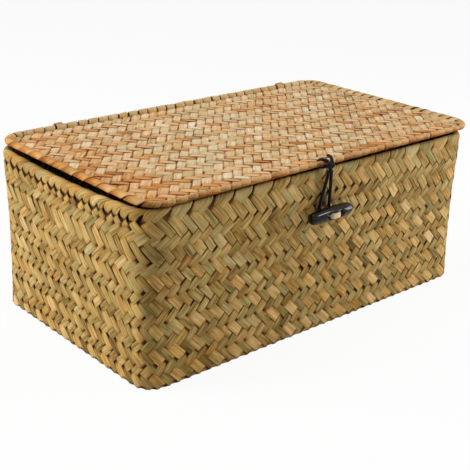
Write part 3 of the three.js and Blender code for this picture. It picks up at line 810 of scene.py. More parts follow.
# %% Wall twill
WALL_STRANDS = 114
COLUMN = GIRTH / WALL_STRANDS  # from one strand to the next, round the wall
ROW = 17.0  # height of one full twill
ROW_START = 13.4
SLOPE = 2 * COLUMN / ROW
LANE = COLUMN / np.hypot(1, SLOPE)  # width of one strand's lane
number = np.arange(WALL_STRANDS)[:, None]
print("columns of %.2f mm, rows of %.1f mm, lanes of %.2f mm" % (COLUMN, ROW, LANE))

# %% Rows of the twill
ROW_LOW = [0.0, -2.8, 0.0, 0.0]  # the rows' own shift at the foot and at the top of each side
ROW_HIGH = [0.0, 3.9, 0.6, 0.0]
ROW_TURN = (70, 105)  # the climbs between which one shift turns into the other
ROW_WANDERS = ((0.7, 5, 19), (0.5, 11, -13))  # millimetres, waves round the wall, and climb for each radian
TOP_ROW, TOP_STRETCH = 107.0, 0.42  # the top row is longer than the others
SKEWS = [0.5, 1.3, 0.8, 0.5]  # how far strands swing sideways near the top
SKEW_CLIMBS = (60, 98)
WAVE = 0.46  # how far a strand swings out and in
FOOT_LOW, FOOT_HIGH = 2.0, 9.0  # the weave is pressed flat where the basket stands
FOOT_SWING = 0.3
BEDDED = 0.1  # how far the weave is drawn in from the outline
print("%.1f rows up the wall" % ((FOLD_START - ROW_START) / ROW))


def climbs(low, high, step):
    """Climbs from low to high, the same for every strand."""
    return np.linspace(low, high, int((high - low) / step) + 1)[None, :]


def row_phase(around, climb):
    """The twill's phase: four crossings in each row height, with rows that wander up and down round the
    wall."""
    high = smooth_step(climb, *ROW_TURN)
    shift = by_side(ROW_LOW, around) * (1 - high) + by_side(ROW_HIGH, around) * high
    turn = 2 * np.pi * around / GIRTH
    for size, waves, slant in ROW_WANDERS:
        shift = shift + size * np.sin(waves * turn + climb / slant)
    stretched = climb - TOP_STRETCH * np.maximum(climb - TOP_ROW, 0)
    return 4 * (stretched - ROW_START - shift) / ROW + 0.5


def along_front(around):
    """Zero at the front's left end and one at its right end, going on round the other sides."""
    return (around % GIRTH - RUN_STARTS[FRONT_RUN]) / LONG_RUN


def skewed(around, climb, phase):
    """Places round the wall that swing once for each float, more near the top."""
    return around - by_side(SKEWS, around) * smooth_step(climb, *SKEW_CLIMBS) * np.cos(np.pi * phase / 2)


def wall_lift(height, climb):
    """How far strands stand off the wall's surface for a swing from -1 to 1: less where the basket
    stands."""
    swing = WAVE * (FOOT_SWING + (1 - FOOT_SWING) * smooth_step(climb, FOOT_LOW, FOOT_HIGH))
    return swing * (height - 1) - STRAND_THICK / 2 - BEDDED


# %% [markdown]
# ## Rising wall strands
# The strands that climb to the right also make the rim. They go over the rim's fold and end inside. A
# separate band on top of the wall would be simpler, but the real strands run through, and the fold shows
# it. At the front they keep their slope, and every second one spreads over its neighbour at the fold. At
# the left they lean over more and more, each over the one before it like the lay of a rope. The upper
# part is a piece of its own, because the fold needs a section with more corners.

# %% Route of the rising strands
RING_STEP = 1.15
BASE_TUCK = -5.0
LIP_END = FOLD_END + 6.0
RIM_CLIMBS = [108.0, 113.0, 117.5, 121.0, 124.0]
RIM_LEANS = [  # run round the rim for each millimetre of climb, at the back, left, front and right
    [SLOPE, SLOPE, SLOPE, SLOPE],
    [1.0, 0.8, 1.0, 1.0],
    [1.0, 0.5, 1.0, 1.0],
    [1.0, 1.5, 1.0, 1.0],
    [1.0, 2.2, 1.0, 1.0],
]
RIM_STARTS = [112.0, 113.0, 114.0, 112.0]  # where the rim's own strands come to the top
RIM_RUN = 5  # climb in which a strand turns from woven to rim, and from rim to fold
ROUTE_DRIFT = 0.45
WALL_PULL = 0.1  # how much a float's swing differs from its neighbours'
LONGER = 0.2  # the falling floats are longer than the rising ones
climb = climbs(BASE_TUCK, LIP_END, RING_STEP)
top = COLUMN * (number + 0.5) + SLOPE * (RIM_CLIMBS[2] - ROW_START)
lean = sum(
    np.interp(climb, RIM_CLIMBS, near) * by_side(leans, top)
    for near, leans in zip(np.eye(len(RIM_CLIMBS)), RIM_LEANS)
)
runs = (lean[:, 1:] + lean[:, :-1]) / 2 * np.diff(climb)
foot = COLUMN * (number + 0.5) + SLOPE * (BASE_TUCK - ROW_START)
around = foot + np.cumsum(np.pad(runs, ((0, 0), (1, 0))), axis=1)
around = around + ROUTE_DRIFT * drift(WALL_STRANDS, climb, ROUTE_RUN)
phase = row_phase(around, climb)
rim_start = by_side(RIM_STARTS, top)
rim = smooth_step(climb, rim_start, rim_start + RIM_RUN)
around = around + (skewed(around, climb, phase) - around) * (1 - rim)
height = wave(phase, longer=-LONGER) * hand_pull(phase, WALL_PULL) * (1 - rim) + rim
print("%d rising strands with %d rings each" % around.shape)

# %% Width and lift at the rim
FOLD_STARTS = [114.0, 118.0, 114.5, 114.0]  # where every second strand spreads over its neighbour
FOLD_COVERS = [1.12, 0.4, 1.12, 1.12]  # how much of its lane it gains
FOLD_LOSS = 0.1  # how much of its lane every strand gives up at the fold
FOLD_LIFT = 0.1
TUCKS = [0.6, 0.2, 0.6, 0.6]  # how far its neighbour goes under
RIM_COVERS = [0.97, 0.42, 0.97, 0.97]  # share of the lane that a strand fills just under the rim
STEM_CLIMBS = ((110, 114), (115, 120))  # the narrow place under the rim begins and ends here
STEM_SPARED = 0.25  # how much less narrow the strands are there that spread at the fold
RIM_TILTS = [-0.12, -0.3, -0.1, -0.12]
RIM_LIFTS = [0.0, 0.0, 0.7, 0.3]  # the fold stands up here, and nearly meets the lid
LIFT_RUN = 1.5 * ROLL  # climb over the fold in which it comes to its full lift
SETTLED = 0.2  # share of that lift at the front's right half, where a dark line shows under the lid
OPEN_RIM = (0.35, 0.6)  # shares of the front between which the rim closes
SLIT_CHANCE, SLIT = 0.65, 0.25
RISING_COVER, COVER_DRIFT = 1.06, 0.05
STEEPEST = 1.3  # a strand isn't made narrower for a lean past this
WALL_TILT = 0.12
stem = smooth_step(climb, *STEM_CLIMBS[0]) * (1 - smooth_step(climb, *STEM_CLIMBS[1]))
upper = np.where(number % 2 == 0, 1.0, 0.0)
fold_at = by_side(FOLD_STARTS, top)
folded = smooth_step(climb, fold_at, fold_at + RIM_RUN)
open_rim = 1 - smooth_step(along_front(top), *OPEN_RIM)
slit = np.where(rng.random((WALL_STRANDS, 1)) < SLIT_CHANCE, SLIT, 0.0) * folded * open_rim
cover = RISING_COVER + COVER_DRIFT * drift(WALL_STRANDS, climb, WIDTH_RUN)
cover = cover + folded * (by_side(FOLD_COVERS, top) * upper - FOLD_LOSS) - slit
cover = cover + (by_side(RIM_COVERS, top) - 1) * stem * (1 - STEM_SPARED * upper)
width = COLUMN / np.hypot(1, np.minimum(lean, STEEPEST)) * cover
tucked = folded * (1 - upper) * by_side(TUCKS, top)
tilt = WALL_TILT * by_float(phase) * (1 - rim) + by_side(RIM_TILTS, top) * rim
crest = smooth_step(climb, FOLD_START, FOLD_START + LIFT_RUN)
rim_lift = by_side(RIM_LIFTS, top) * (SETTLED + (1 - SETTLED) * open_rim) * crest
lift = wall_lift(height, climb) + rim_lift + FOLD_LIFT * folded * upper - tucked
print("strands from %.1f to %.1f mm wide" % (width.min(), width.max()))

# %% Rising strands
RIM_CUT = 112.5  # above it the strands are a piece of their own
RIM_TONES = [0.02, 0.08, 0.02, 0.02]
RIM_RUSTS = [0.0, 0.4, 0.0, 0.0]
TUCK_SHADE = 2.7  # painted shade on a tucked strand, strongest where the rim is open
# share of that painted shade that a tucked strand keeps where the rim is closed
CLOSED_SHADE = 0.3
FOLD_WEAR = 0.6
tone = mixed(phase, climb, usual=0.47, strand=0.06, single=0.04, slow=0.1)
tone = tone + by_side(RIM_TONES, top) * rim
rust = mixed(phase, climb, usual=0.02, strand=0.2, single=0.17, slow=0.25)
rust = rust + by_side(RIM_RUSTS, top) * rim
# painted shade: tucked strands are darkened through their depth value
depth = height - TUCK_SHADE * tucked * (CLOSED_SHADE + (1 - CLOSED_SHADE) * open_rim)
fields = np.broadcast_arrays(around, climb, lift, width, tone, rust, depth, tilt, FOLD_WEAR * folded)
cut = int(np.searchsorted(climb[0], RIM_CUT))
wall_and_rim = (
    ("wall_strands_rising", slice(cut + 1), FLAT),
    ("rim_strands", slice(cut, None), BROAD),
)
for name, part, section in wall_and_rim:
    rising = woven(name, wall_point, *[field[:, part] for field in fields], section=section)
    dress(rising, WALL_RUSH, "basket", "outer_weave")

# %% [markdown]
# ## Falling wall strands
# The other family runs down to the right and ends under the rim. Broad golden strands alternate with
# narrow olive ones, and they are most golden low down and to the right. At the left they dive early, and
# leave the small dark holes under the rim's arches. They are the same ribbons with the slope turned
# round, half a turn later in the phase.

# %% Route of the falling strands
RIM_DIVES = [0.8, 2.4, 0.7, 0.8]  # how deep the strands end under the rim, in swings
DIVE_STARTS = [113.0, 112.0, 116.0, 113.0]
DIVE_LENGTH = 4.0
DIVE_STAGGER = 1.2  # every second strand dives a little later
FLOAT_SKEW = 0.22
climb = climbs(BASE_TUCK, FOLD_START - 1, RING_STEP)
straight = COLUMN * (number + 0.5) - SLOPE * (climb - ROW_START)
around = straight + ROUTE_DRIFT * drift(WALL_STRANDS, climb, ROUTE_RUN)
phase = row_phase(around, climb) + 2
around = skewed(around, climb, phase)
dive_at = by_side(DIVE_STARTS, around) + DIVE_STAGGER * (number % 2)
dive = smooth_step(climb, dive_at, dive_at + DIVE_LENGTH)
swing = wave(phase, FLOAT_SKEW, LONGER) * hand_pull(phase, WALL_PULL)
height = swing * (1 - dive) - by_side(RIM_DIVES, around) * dive
print("%d falling strands with %d rings each" % around.shape)

# %% Falling strands
FALLING_COVER, BROADER = 1.1, 0.13
BROAD_LIFT = 0.06
GOLD_RIGHT, GOLD_FADE = 0.6, 90  # the gold reaches higher at the front's right end, and fades with the climb
GOLD_RANGE = (-0.9, -0.1)
GOLD_RUST = 0.2
BROAD_TONE, BROAD_RUST = 0.04, 0.12  # a broad strand is that much paler and riper, and a narrow one less
GOLD_BROAD_TONE, GOLD_BROAD_RUST = 0.1, 0.3  # and how much more where the wall is golden
broad = np.where(number % 2 == 0, 1.0, -1.0)
width = LANE * (FALLING_COVER + BROADER * broad + COVER_DRIFT * drift(WALL_STRANDS, climb, WIDTH_RUN))
tilt = WALL_TILT * by_float(phase)
golden = smooth_step(GOLD_RIGHT * along_front(around) - climb / GOLD_FADE, *GOLD_RANGE)
tone = mixed(phase, climb, usual=0.53, strand=0.06, single=0.05, slow=0.1)
tone = tone + (BROAD_TONE + GOLD_BROAD_TONE * golden) * broad
rust = mixed(phase, climb, usual=0.04, strand=0.16, single=0.18, slow=0.25)
rust = rust + GOLD_RUST * golden + (BROAD_RUST + GOLD_BROAD_RUST * golden) * broad
lift = wall_lift(height, climb) + BROAD_LIFT * broad
# the swing's height is also the depth value, for the painted shade where a strand goes under
falling = woven("wall_strands_falling", wall_point, around, climb, lift, width, tone, rust, height, tilt)
dress(falling, WALL_RUSH, "basket", "outer_weave")

# %% [markdown]
# ## Lining
# The strand ends are turned down inside and woven back, so the wall has two plies. The lining shows only
# with the lid open. It is the same weave on the same surface, set further in and sampled more coarsely.
# It is seen from inside, so its shade counts the other way.

# %% Lining
LINING_DEPTH = -3.0
LINING_WAVE = 0.45
LINING_STEP = 2.1
LINING_COVER = 0.97
climb = climbs(BASE_EDGE, FOLD_START - 3, LINING_STEP)
lean = np.repeat([1.0, -1.0], WALL_STRANDS)[:, None]
around = COLUMN * (np.tile(number, (2, 1)) + 0.5) + lean * SLOPE * (climb - ROW_START)
phase = row_phase(around, climb) + 1 - lean
height = wave(phase)
tone, rust = hidden_looks(phase, climb, 0.45, -0.1, single=0.06, slow=0.14)
lining = woven("lining_strands", wall_point, around, climb, LINING_DEPTH + LINING_WAVE * height,
               LANE * LINING_COVER, tone, rust, -height, section=EVEN)
dress(lining, WALL_RUSH, "basket", "inner_weave")

# %% [markdown]
# ## Flat woven panels
# The base and the lid's two plies are flat twills. Their strands run slantwise at about 45 degrees, and
# are cut off where they leave a rounded rectangle. Each strand is a straight line in plan, so its two
# ends come from asking a fine row of places along it whether they are inside the outline. Cutting a
# larger sheet with a Boolean would leave open strand ends.

# %% Panel strands
FINE_PLACES = 1200
SHORTEST = FINE_PLACES / 30  # a strand with fewer places inside is left out


def inside_outline(x, y, half_length, half_depth, corner):
    """True inside a rounded rectangle about the origin: the distance past its inner rectangle is under
    the corner's radius."""
    past_x = np.maximum(np.abs(x) - (half_length - corner), 0)
    past_y = np.maximum(np.abs(y) - (half_depth - corner), 0)
    return np.hypot(past_x, past_y) < corner


def panel_lines(rise, column, row, start, outline, samples):
    """Strands of one family over a rounded rectangle, as x, y and phase. rise is 1 for strands that go up
    to the right. A strand of number n runs where x / column - rise * 2 (y - start) / row is n and a
    half."""
    half_length, half_depth, _ = outline
    most = int(half_length / column + 2 * (half_depth + abs(start)) / row) + 1
    n = np.arange(-most, most)[:, None] + 0.5
    fine = np.linspace(-half_depth, half_depth, FINE_PLACES)[None, :]
    inside = inside_outline(column * (n + rise * 2 * (fine - start) / row), fine, *outline)
    used = inside.sum(1) > SHORTEST
    low = np.where(inside, fine, np.inf).min(1)[used][:, None]
    high = np.where(inside, fine, -np.inf).max(1)[used][:, None]
    y = low + (high - low) * np.linspace(0, 1, samples)[None, :]
    x = column * (n[used] + rise * 2 * (y - start) / row)
    return x, y, 4 * (y - start) / row + 1.5 - rise


def plan_surface(level, centre):
    """A surface over the plan: x and y from a centre, at the height that level gives."""
    return lambda x, y: np.stack([x + centre[0], y + centre[1], level(x, y)], -1)


def inset_outline(length, depth, corner, inset):
    """Half the length and depth, and the corner's radius, of a rounded rectangle drawn in by an inset."""
    return length / 2 - inset, depth / 2 - inset, corner - inset


# %% [markdown]
# ## The base
# The base is the same twill, lying flat, and the wall's strands tuck in under its edge. It is seen from
# below, and from above with the lid open, so a strand's shade depends on how far it is from either face.
# A plain slab would be enough for a closed box, but the strands' edges show as soon as the lid is up.

# %% Base
BASE_INSET = 4.4
BASE_LEVEL = 1.0
BASE_COVER = 0.98
BASE_RINGS = 116
base_outline = inset_outline(BASE_LENGTH, BASE_DEPTH, BASE_CORNER, BASE_INSET)
base_surface = plan_surface(lambda x, y: BASE_LEVEL + 0 * x, (0, 0))
for rise, name in ((1, "base_strands_rising"), (-1, "base_strands_falling")):
    x, y, phase = panel_lines(rise, COLUMN, ROW, 0.0, base_outline, BASE_RINGS)
    height = wave(phase)
    tone, rust = hidden_looks(phase, y, 0.45, -0.1)
    base_panel = woven(name, base_surface, x, y, LINING_WAVE * height, LANE * BASE_COVER, tone, rust,
                       np.abs(height), section=EVEN)
    dress(base_panel, WALL_RUSH, "basket", "outer_weave")

# %% [markdown]
# ## The lid's panel
# The lid's rows are a little longer than the wall's, and its rush is paler. The rising strands are broad
# and nearly touch. The falling ones are narrower and vary more, up to orange, and their cut edges draw
# the lines between the rows. The rush is browner at the left and at the front. The panel sags a little in
# the middle. A flat sheet could be bent for that, but here the strands are laid on a surface that already
# sags.

# %% Lid surface
LID_COLUMN = 8.65
LID_ROW = 18.7
LID_LANE = LID_COLUMN * LID_ROW / 2 / np.hypot(LID_COLUMN, LID_ROW / 2)
LID_SAG = 1.8
LID_WAVE = 0.42
PANEL_INSET = 3.0
PANEL_Z = ROLL_Z + PANEL_TOP - LID_WAVE - STRAND_THICK / 2
lid_outline = inset_outline(LID_LENGTH, LID_DEPTH, LID_CORNER, PANEL_INSET)
print("lid lanes of %.2f mm, panel at %.1f mm" % (LID_LANE, PANEL_Z))


def lid_level(x, y):
    """The lid panel's middle surface: level at its edges and sagging by a product of two parabolas."""
    half_length, half_depth, _ = lid_outline
    return PANEL_Z - LID_SAG * (1 - (x / half_length) ** 2) * (1 - (y / half_depth) ** 2)


# %% Lid strands
LID_ROW_START = -74.6
LID_LONGER = 0.1  # the rising floats are longer than the falling ones
LID_PULL = 0.12
LID_DRIFT, LID_COVER_DRIFT = 0.5, 0.08
LID_TILT = 0.16
LID_RINGS = 148
LID_SHADE = 1.1  # painted shade: how dark a lid strand grows where it goes under
# from the lid's middle, where the rush begins to brown and where it is brown
BROWN_LEFT, BROWN_FRONT = (90, 150), (60, 88)
FRONT_SHARE = 0.5  # how brown the front is beside the left
BROWN_TONE, BROWN_RUST = 0.08, 0.65
LID_FAMILIES = (
    {"rise": 1, "name": "lid_strands_rising", "cover": 1.07, "uneven": 0.1,
     "tone": 0.62, "rust": -0.34, "varied": 0.22},
    {"rise": -1, "name": "lid_strands_falling", "cover": 0.95, "uneven": 0.06,
     "tone": 0.56, "rust": 0.14, "varied": 0.38},
)
lid_surface = plan_surface(lid_level, LID_MIDDLE)
for family in LID_FAMILIES:
    rise = family["rise"]
    x, y, phase = panel_lines(rise, LID_COLUMN, LID_ROW, LID_ROW_START, lid_outline, LID_RINGS)
    count = len(x)
    x = x + LID_DRIFT * drift(count, y, ROUTE_RUN)
    height = wave(phase, longer=rise * LID_LONGER) * hand_pull(phase, LID_PULL)
    broad = np.where(np.arange(count) % 2 == 0, family["uneven"], -family["uneven"])[:, None]
    width = LID_LANE * (family["cover"] + broad + LID_COVER_DRIFT * drift(count, y, WIDTH_RUN))
    browned = smooth_step(-x, *BROWN_LEFT) + FRONT_SHARE * smooth_step(-y, *BROWN_FRONT)
    tone = mixed(phase, y, family["tone"], strand=0.08, single=0.08, slow=0.1) - BROWN_TONE * browned
    rust = mixed(phase, y, family["rust"], strand=0.16, single=family["varied"], slow=0.25)
    rust = rust + BROWN_RUST * browned
    tilt = LID_TILT * by_float(phase)
    # painted shade where a lid strand goes under its neighbours
    depth = 1 + LID_SHADE * (height - 1)
    lid_panel = woven(family["name"], lid_surface, x, y, LID_WAVE * height, width, tone, rust, depth, tilt,
                      section=CUT)
    dress(lid_panel, LID_RUSH, "lid", "lid_top_weave")

# %% [markdown]
# ## The lid's underside
# The lid's strand ends are turned in and woven back under the panel, as in the wall. The underside shows
# only with the lid open. It follows the panel's sag a little lower down, and it is seen from below, so its
# painted shade counts the other way.

# %% Lid underside
UNDER_INSET = 7.1
UNDER_DROP = 1.9
UNDER_RINGS = 78
under_outline = inset_outline(LID_LENGTH, LID_DEPTH, LID_CORNER, UNDER_INSET)
for rise, name in ((1, "lid_lining_rising"), (-1, "lid_lining_falling")):
    x, y, phase = panel_lines(rise, LID_COLUMN, LID_ROW, LID_ROW_START, under_outline, UNDER_RINGS)
    height = wave(phase)
    tone, rust = hidden_looks(phase, y, 0.5, 0.0)
    under_panel = woven(name, lid_surface, x, y, LINING_WAVE * height - UNDER_DROP, LID_LANE * LINING_COVER,
                        tone, rust, -height, section=EVEN)
    dress(under_panel, LID_RUSH, "lid", "lid_under_weave")

# %% [markdown]
# ## The lid's edge roll
# Round the lid's edge the strands are wound over a wire and back under the panel. A tube with stripes
# would be simpler, but each wrap's edge stands off the next one and shows. The roll is broad at the back
# and slim at the front. The wraps lean with the weave: at the left they lie long along the edge, and at
# the back and the right dark slits show between them. At the front they overlap, with worn edges and
# painted shade on the outer side. Every wrap is painted paler and less orange on top, as a highlight.

# %% Edge roll surface
EDGE_RADIUS = 2.6
EDGE_FLATS = [5.0, 2.6, 1.8, 4.0]  # half the roll's breadth at the back, left, front and right
EDGE_HIGHS = [2.6, 2.6, 2.0, 2.6]  # half its height
EDGE_LEVELS = ROLL_Z + np.array([0.5, 0.5, 0.0, 0.5])
EDGE_GAP = 0.15  # from the lid's outline to the roll
print("edge roll from %.1f to %.1f mm broad" % (2 * min(EDGE_FLATS), 2 * max(EDGE_FLATS)))


def lid_edge_point(around, climb):
    """A point on the lid's edge roll, an ellipse carried round the lid. The climb goes up outside, over
    the top and down inside."""
    angle = climb / EDGE_RADIUS
    inset = EDGE_GAP + by_side(EDGE_FLATS, around) * (1 - np.cos(angle))
    plan = rounded_plan(around, LID_LENGTH - 2 * inset, LID_DEPTH - 2 * inset, LID_CORNER - inset)
    height = by_side(EDGE_LEVELS, around) + by_side(EDGE_HIGHS, around) * np.sin(angle)
    return np.concatenate([plan + LID_MIDDLE, height[..., None]], -1)


# %% Places of the wraps
WRAP_LOW, WRAP_HIGH = np.radians([-130, 205]) * EDGE_RADIUS
WRAP_TOP = np.pi / 2 * EDGE_RADIUS
WRAP_RINGS = 26
WRAP_PITCHES = [9.3, 14.0, 8.65, 9.3]  # back, left, front and right
WRAP_LEANS = [0.8, 1.35, 0.2, 0.9]  # run along the edge for each millimetre of wrap
WRAP_COVERS = [0.92, 1.04, 1.1, 0.86]  # share of the pitch that a wrap fills
START_UNEVEN, COVER_UNEVEN = 0.4, 0.05
COUNT_PLACES = 4000
fine = np.linspace(0, GIRTH, COUNT_PLACES)
counted = np.cumsum(np.gradient(fine) / by_side(WRAP_PITCHES, fine))
wraps = int(round(counted[-1]))
start = np.interp((np.arange(wraps) + 0.5) * counted[-1] / wraps, counted, fine)[:, None]


def by_wrap(spread):
    """A normal random value for each wrap, times a spread."""
    return spread * rng.standard_normal((wraps, 1))


start = start + by_wrap(START_UNEVEN)
climb = np.linspace(WRAP_LOW, WRAP_HIGH, WRAP_RINGS)[None, :]
lean = by_side(WRAP_LEANS, start)
around = start + lean * (climb - WRAP_TOP)
cover = by_side(WRAP_COVERS, start) * (1 + by_wrap(COVER_UNEVEN))
width = by_side(WRAP_PITCHES, start) / np.hypot(1, lean) * cover
print("%d wraps, %.1f to %.1f mm wide" % (wraps, width.min(), width.max()))

# %% Edge wraps
WRAP_THICK = 0.7
WRAP_TONES = [0.55, 0.44, 0.38, 0.52]
WRAP_RUSTS = [-0.3, 0.65, 0.4, -0.4]
WRAP_PAINTED_HIGHLIGHTS = [0.2, 0.2, 0.34, 0.2]  # painted highlight: how much paler a wrap is on top than at its side
WRAP_PAINTED_SHADES = [0.2, 0.4, 1.0, 0.2]  # how much painted shade its outer side takes
WRAP_WORN = [0.0, 0.0, 0.6, 0.0]  # how far the cut edges have worn off
PAINTED_SHADE_SPREAD, PAINTED_SHADE_BELOW = 0.6, 0.1  # the painted shade's height on the roll, and how far below the middle it lies
TONE_UNEVEN, RUST_UNEVEN, LIFT_UNEVEN, TILT_UNEVEN = 0.08, 0.25, 0.12, 0.12
# painted highlight: a wrap is also less orange on top
PAINTED_HIGHLIGHT_GREENER = 0.4
TOP_DEPTH = 0.6  # depth of a strand that lies on top, in the open, which takes almost no painted shade
over = np.sin(climb / EDGE_RADIUS)
tone = by_side(WRAP_TONES, start) + by_wrap(TONE_UNEVEN) + by_side(WRAP_PAINTED_HIGHLIGHTS, start) * over
rust = by_side(WRAP_RUSTS, start) + by_wrap(RUST_UNEVEN) - PAINTED_HIGHLIGHT_GREENER * over
lift = -WRAP_THICK / 2 - LIFT_UNEVEN * rng.random(start.shape)
# painted shade on the roll's outer side, a little below its middle
outer_painted_shade = by_side(WRAP_PAINTED_SHADES, start) * np.clip(PAINTED_SHADE_SPREAD - np.abs(over + PAINTED_SHADE_BELOW), 0, 1)
edge_roll = woven("lid_edge_wraps", lid_edge_point, around, climb, lift, width, tone, rust, TOP_DEPTH - outer_painted_shade,
                  tilt=by_wrap(TILT_UNEVEN), worn=by_side(WRAP_WORN, start),
                  thick=WRAP_THICK, section=BROAD)
dress(edge_roll, EDGE_RUSH, "lid", "lid_top_weave")

# %% [markdown]
# ## The roll's core
# Inside the wraps the real roll is packed with strand ends round the wire. Modelling them would show
# nothing. A core coloured with painted shade fills the roll instead, so a slit shows dark and never the
# light behind. It is the roll's own surface, drawn in along its normals.

# %% Edge core
CORE_RADIUS = 1.75
CORE_RINGS, CORE_CORNERS = 240, 8
# painted shade: a low tone and a deep depth value make the core near black
PAINTED_SHADE_CORE_LOOKS = {"tone": 0.1, "rust": 0.0, "depth": -1.4, "edge": 0.0}
core_around, core_angle = np.meshgrid(
    np.linspace(0, GIRTH, CORE_RINGS, endpoint=False),
    np.linspace(0, 2 * np.pi, CORE_CORNERS, endpoint=False),
    indexing="ij",
)
core_points, core_normals = surface_frame(lid_edge_point, core_around, core_angle * EDGE_RADIUS)
core_rings = core_points + core_normals * (CORE_RADIUS - EDGE_RADIUS)
core = piece_from_rings("lid_edge_painted_shade_core", core_rings[None], PAINTED_SHADE_CORE_LOOKS, closed=True)
dress(core, EDGE_RUSH, "lid", "lid_top_weave")

# %% [markdown]
# ## Hinge ties
# Two flat strips hold the lid: each goes round the lid's back roll, down both sides of the rim and
# through the wall. The lid turns inside them, so they stay with the basket. A strip is a flat section
# carried along a path in space, and its path nearly ends where it starts.

# %% Strips in space
def carry(paths, normals, across, lift):
    """Rings along paths in space: each section corner stands across to the side and lift along the
    normal, where the side is the normal turned a quarter about the path's own direction."""
    forward = unit(np.gradient(paths, axis=-2))
    side = unit(np.cross(forward, normals))
    outward = np.cross(side, forward)
    beside = paths[..., None, :] + side[..., None, :] * across[..., None]
    return beside + outward[..., None, :] * lift[..., None]


def band(name, path, normals, width, thick, tone):
    """A flat strip of straw along one path in space, with its face to the normals."""
    across, rise = FLAT
    flat = np.zeros((1, len(path)))
    wide = (flat + width / 2)[..., None] * across
    high = (flat + thick)[..., None] * rise
    looks = strand_values(flat + tone, flat, flat + TOP_DEPTH, flat, across)
    return piece_from_rings(name, carry(path[None], normals[None], wide, high), looks)


# %% Hinge ties
TIE_THICK = 0.9
TIE_GAP = 0.3
TIE_REACH = ROLL + TIE_GAP + TIE_THICK / 2
TIE_CORNER = 0.8
TIE_FILL = 0.94  # share of the construction tie's width
TIE_TONE = 0.25
TIE_ARC_POINTS = 30
tie_foot = ROLL_Z - box_mm("hinge_tie_left")[0][2] - TIE_THICK / 2


def tie_line():
    """A strip's middle line about the roll's middle, as y and z: over the roll, down, across the foot and
    up."""
    angle = np.linspace(0, np.pi, TIE_ARC_POINTS)
    over = np.stack([np.cos(angle), np.sin(angle)], -1) * TIE_REACH
    inner, corner = TIE_REACH - TIE_CORNER, TIE_CORNER - tie_foot
    foot = np.array([
        [-TIE_REACH, -tie_foot / 2], [-TIE_REACH, corner], [-inner, -tie_foot],
        [inner, -tie_foot], [TIE_REACH, corner], [TIE_REACH, -tie_foot / 2], [TIE_REACH, -TIE_GAP],
    ])
    return np.concatenate([over, foot])


line = tie_line()
for name in ("hinge_tie_left", "hinge_tie_right"):
    low, high = box_mm(name)
    middle = np.full(len(line), (low[0] + high[0]) / 2)
    path = np.stack([middle, HINGE_Y + line[:, 0], ROLL_Z + line[:, 1]], -1)
    outwards = unit(np.cross([1.0, 0, 0], np.gradient(path, axis=0))) * -1
    tie = band("straw_" + name, path, outwards, (high - low)[0] * TIE_FILL, TIE_THICK, TIE_TONE)
    dress(tie, STRAW, "basket", name)

# %% [markdown]
# ## The closing cord's route
# A thin black cotton cord is knotted round the lid's front edge. Its loop hangs down in two strands and
# slips over the toggle. It follows the route of the construction model: a few points down the left strand
# to behind the toggle, and the same points mirrored. A smooth curve through points keeps the cord on
# them, where a curve that is only drawn towards its points would cut the corners.

# %% Cord route
CORD = 2.2
KNOT_MIDDLE = JOINT_AT["loop_swing"]
CLOSURE_X = KNOT_MIDDLE[0]
LOOP_HALF = np.array([  # x from the closure line, distance in front of the rim, distance below its corners
    [-1.4, 4.4, 1.3], [-1.6, 4.2, 4], [-2.1, 3.7, 8], [-2.8, 3.1, 12.5], [-3.5, 2.4, 17], [-4.2, 1.7, 21.5],
    [-4.7, 1.1, 26], [-4.9, 0.7, 29.9], [-4.2, 0.6, 32.4], [-2.4, 0.6, 34.3],
])
LOOP_END = np.array([[0, 0.6, 35]])
loop_route = np.concatenate([LOOP_HALF, LOOP_END, LOOP_HALF[::-1] * [-1, 1, 1]])
loop_points = np.array([CLOSURE_X, -RIM_DEPTH / 2, RIM_HEIGHT]) + loop_route * [1, -1, -1]


def smooth_route(points, step):
    """A Catmull-Rom curve through the points, sampled about every step: each span is a cubic whose slope
    at a point is half the way from the point before it to the point after it."""
    ends = [2 * points[0] - points[1], 2 * points[-1] - points[-2]]
    p = np.concatenate([ends[:1], points, ends[1:]])
    count = max(2, int(np.linalg.norm(np.diff(points, axis=0), axis=1).mean() / step))
    t = np.linspace(0, 1, count, endpoint=False)[:, None]
    before, start, end, after = (p[k:len(p) - 3 + k, None] for k in range(4))
    spans = start + 0.5 * t * (end - before) + t**2 * (before - 2.5 * start + 2 * end - 0.5 * after)
    spans = spans + t**3 * 0.5 * (3 * (start - end) + after - before)
    return np.concatenate([spans.reshape(-1, 3), points[-1:]])


print("cord route through %d points" % len(loop_points))

# %% [markdown]
# ## A twisted cord
# The cord is laid from three yarns, so its outline is a rope's and not a pipe's. Three tubes wound round
# each other would need many faces. Here one tube's radius swells where a yarn lies, and the swellings
# turn along the cord. The loop is limp and has a fixed length.

# %% Cord loop
CORD_CORNERS = 18
CORD_STEP = 0.45
YARNS = 3
LAY = 5.0  # millimetres of cord for one full turn of a yarn
YARN_LOW, YARN_SWELL = 0.9, 0.2  # the cord's radius between two yarns, and what a yarn adds, as shares
ANY_SIDE = np.array([0.31, 0.05, 0.95])  # a direction that no stretch of the cord runs along


def cord_tube(name, route, diameter=CORD):
    """A twisted cord: its radius swells where a yarn lies, at angles that turn with the distance along
    the route."""
    path = smooth_route(route, CORD_STEP)
    run = np.concatenate([[0], np.cumsum(np.linalg.norm(np.diff(path, axis=0), axis=1))])
    sideways = unit(np.cross(np.gradient(path, axis=0), ANY_SIDE))
    angle = np.linspace(0, 2 * np.pi, CORD_CORNERS, endpoint=False)
    crest = np.abs(np.cos(YARNS / 2 * (angle[None, :] - 2 * np.pi * run[:, None] / LAY)))
    radius = diameter / 2 * (YARN_LOW + YARN_SWELL * crest)
    rings = carry(path[None], sideways[None], (radius * np.cos(angle))[None], (radius * np.sin(angle))[None])
    return piece_from_rings(name, rings, {"yarn": crest[None]}), path


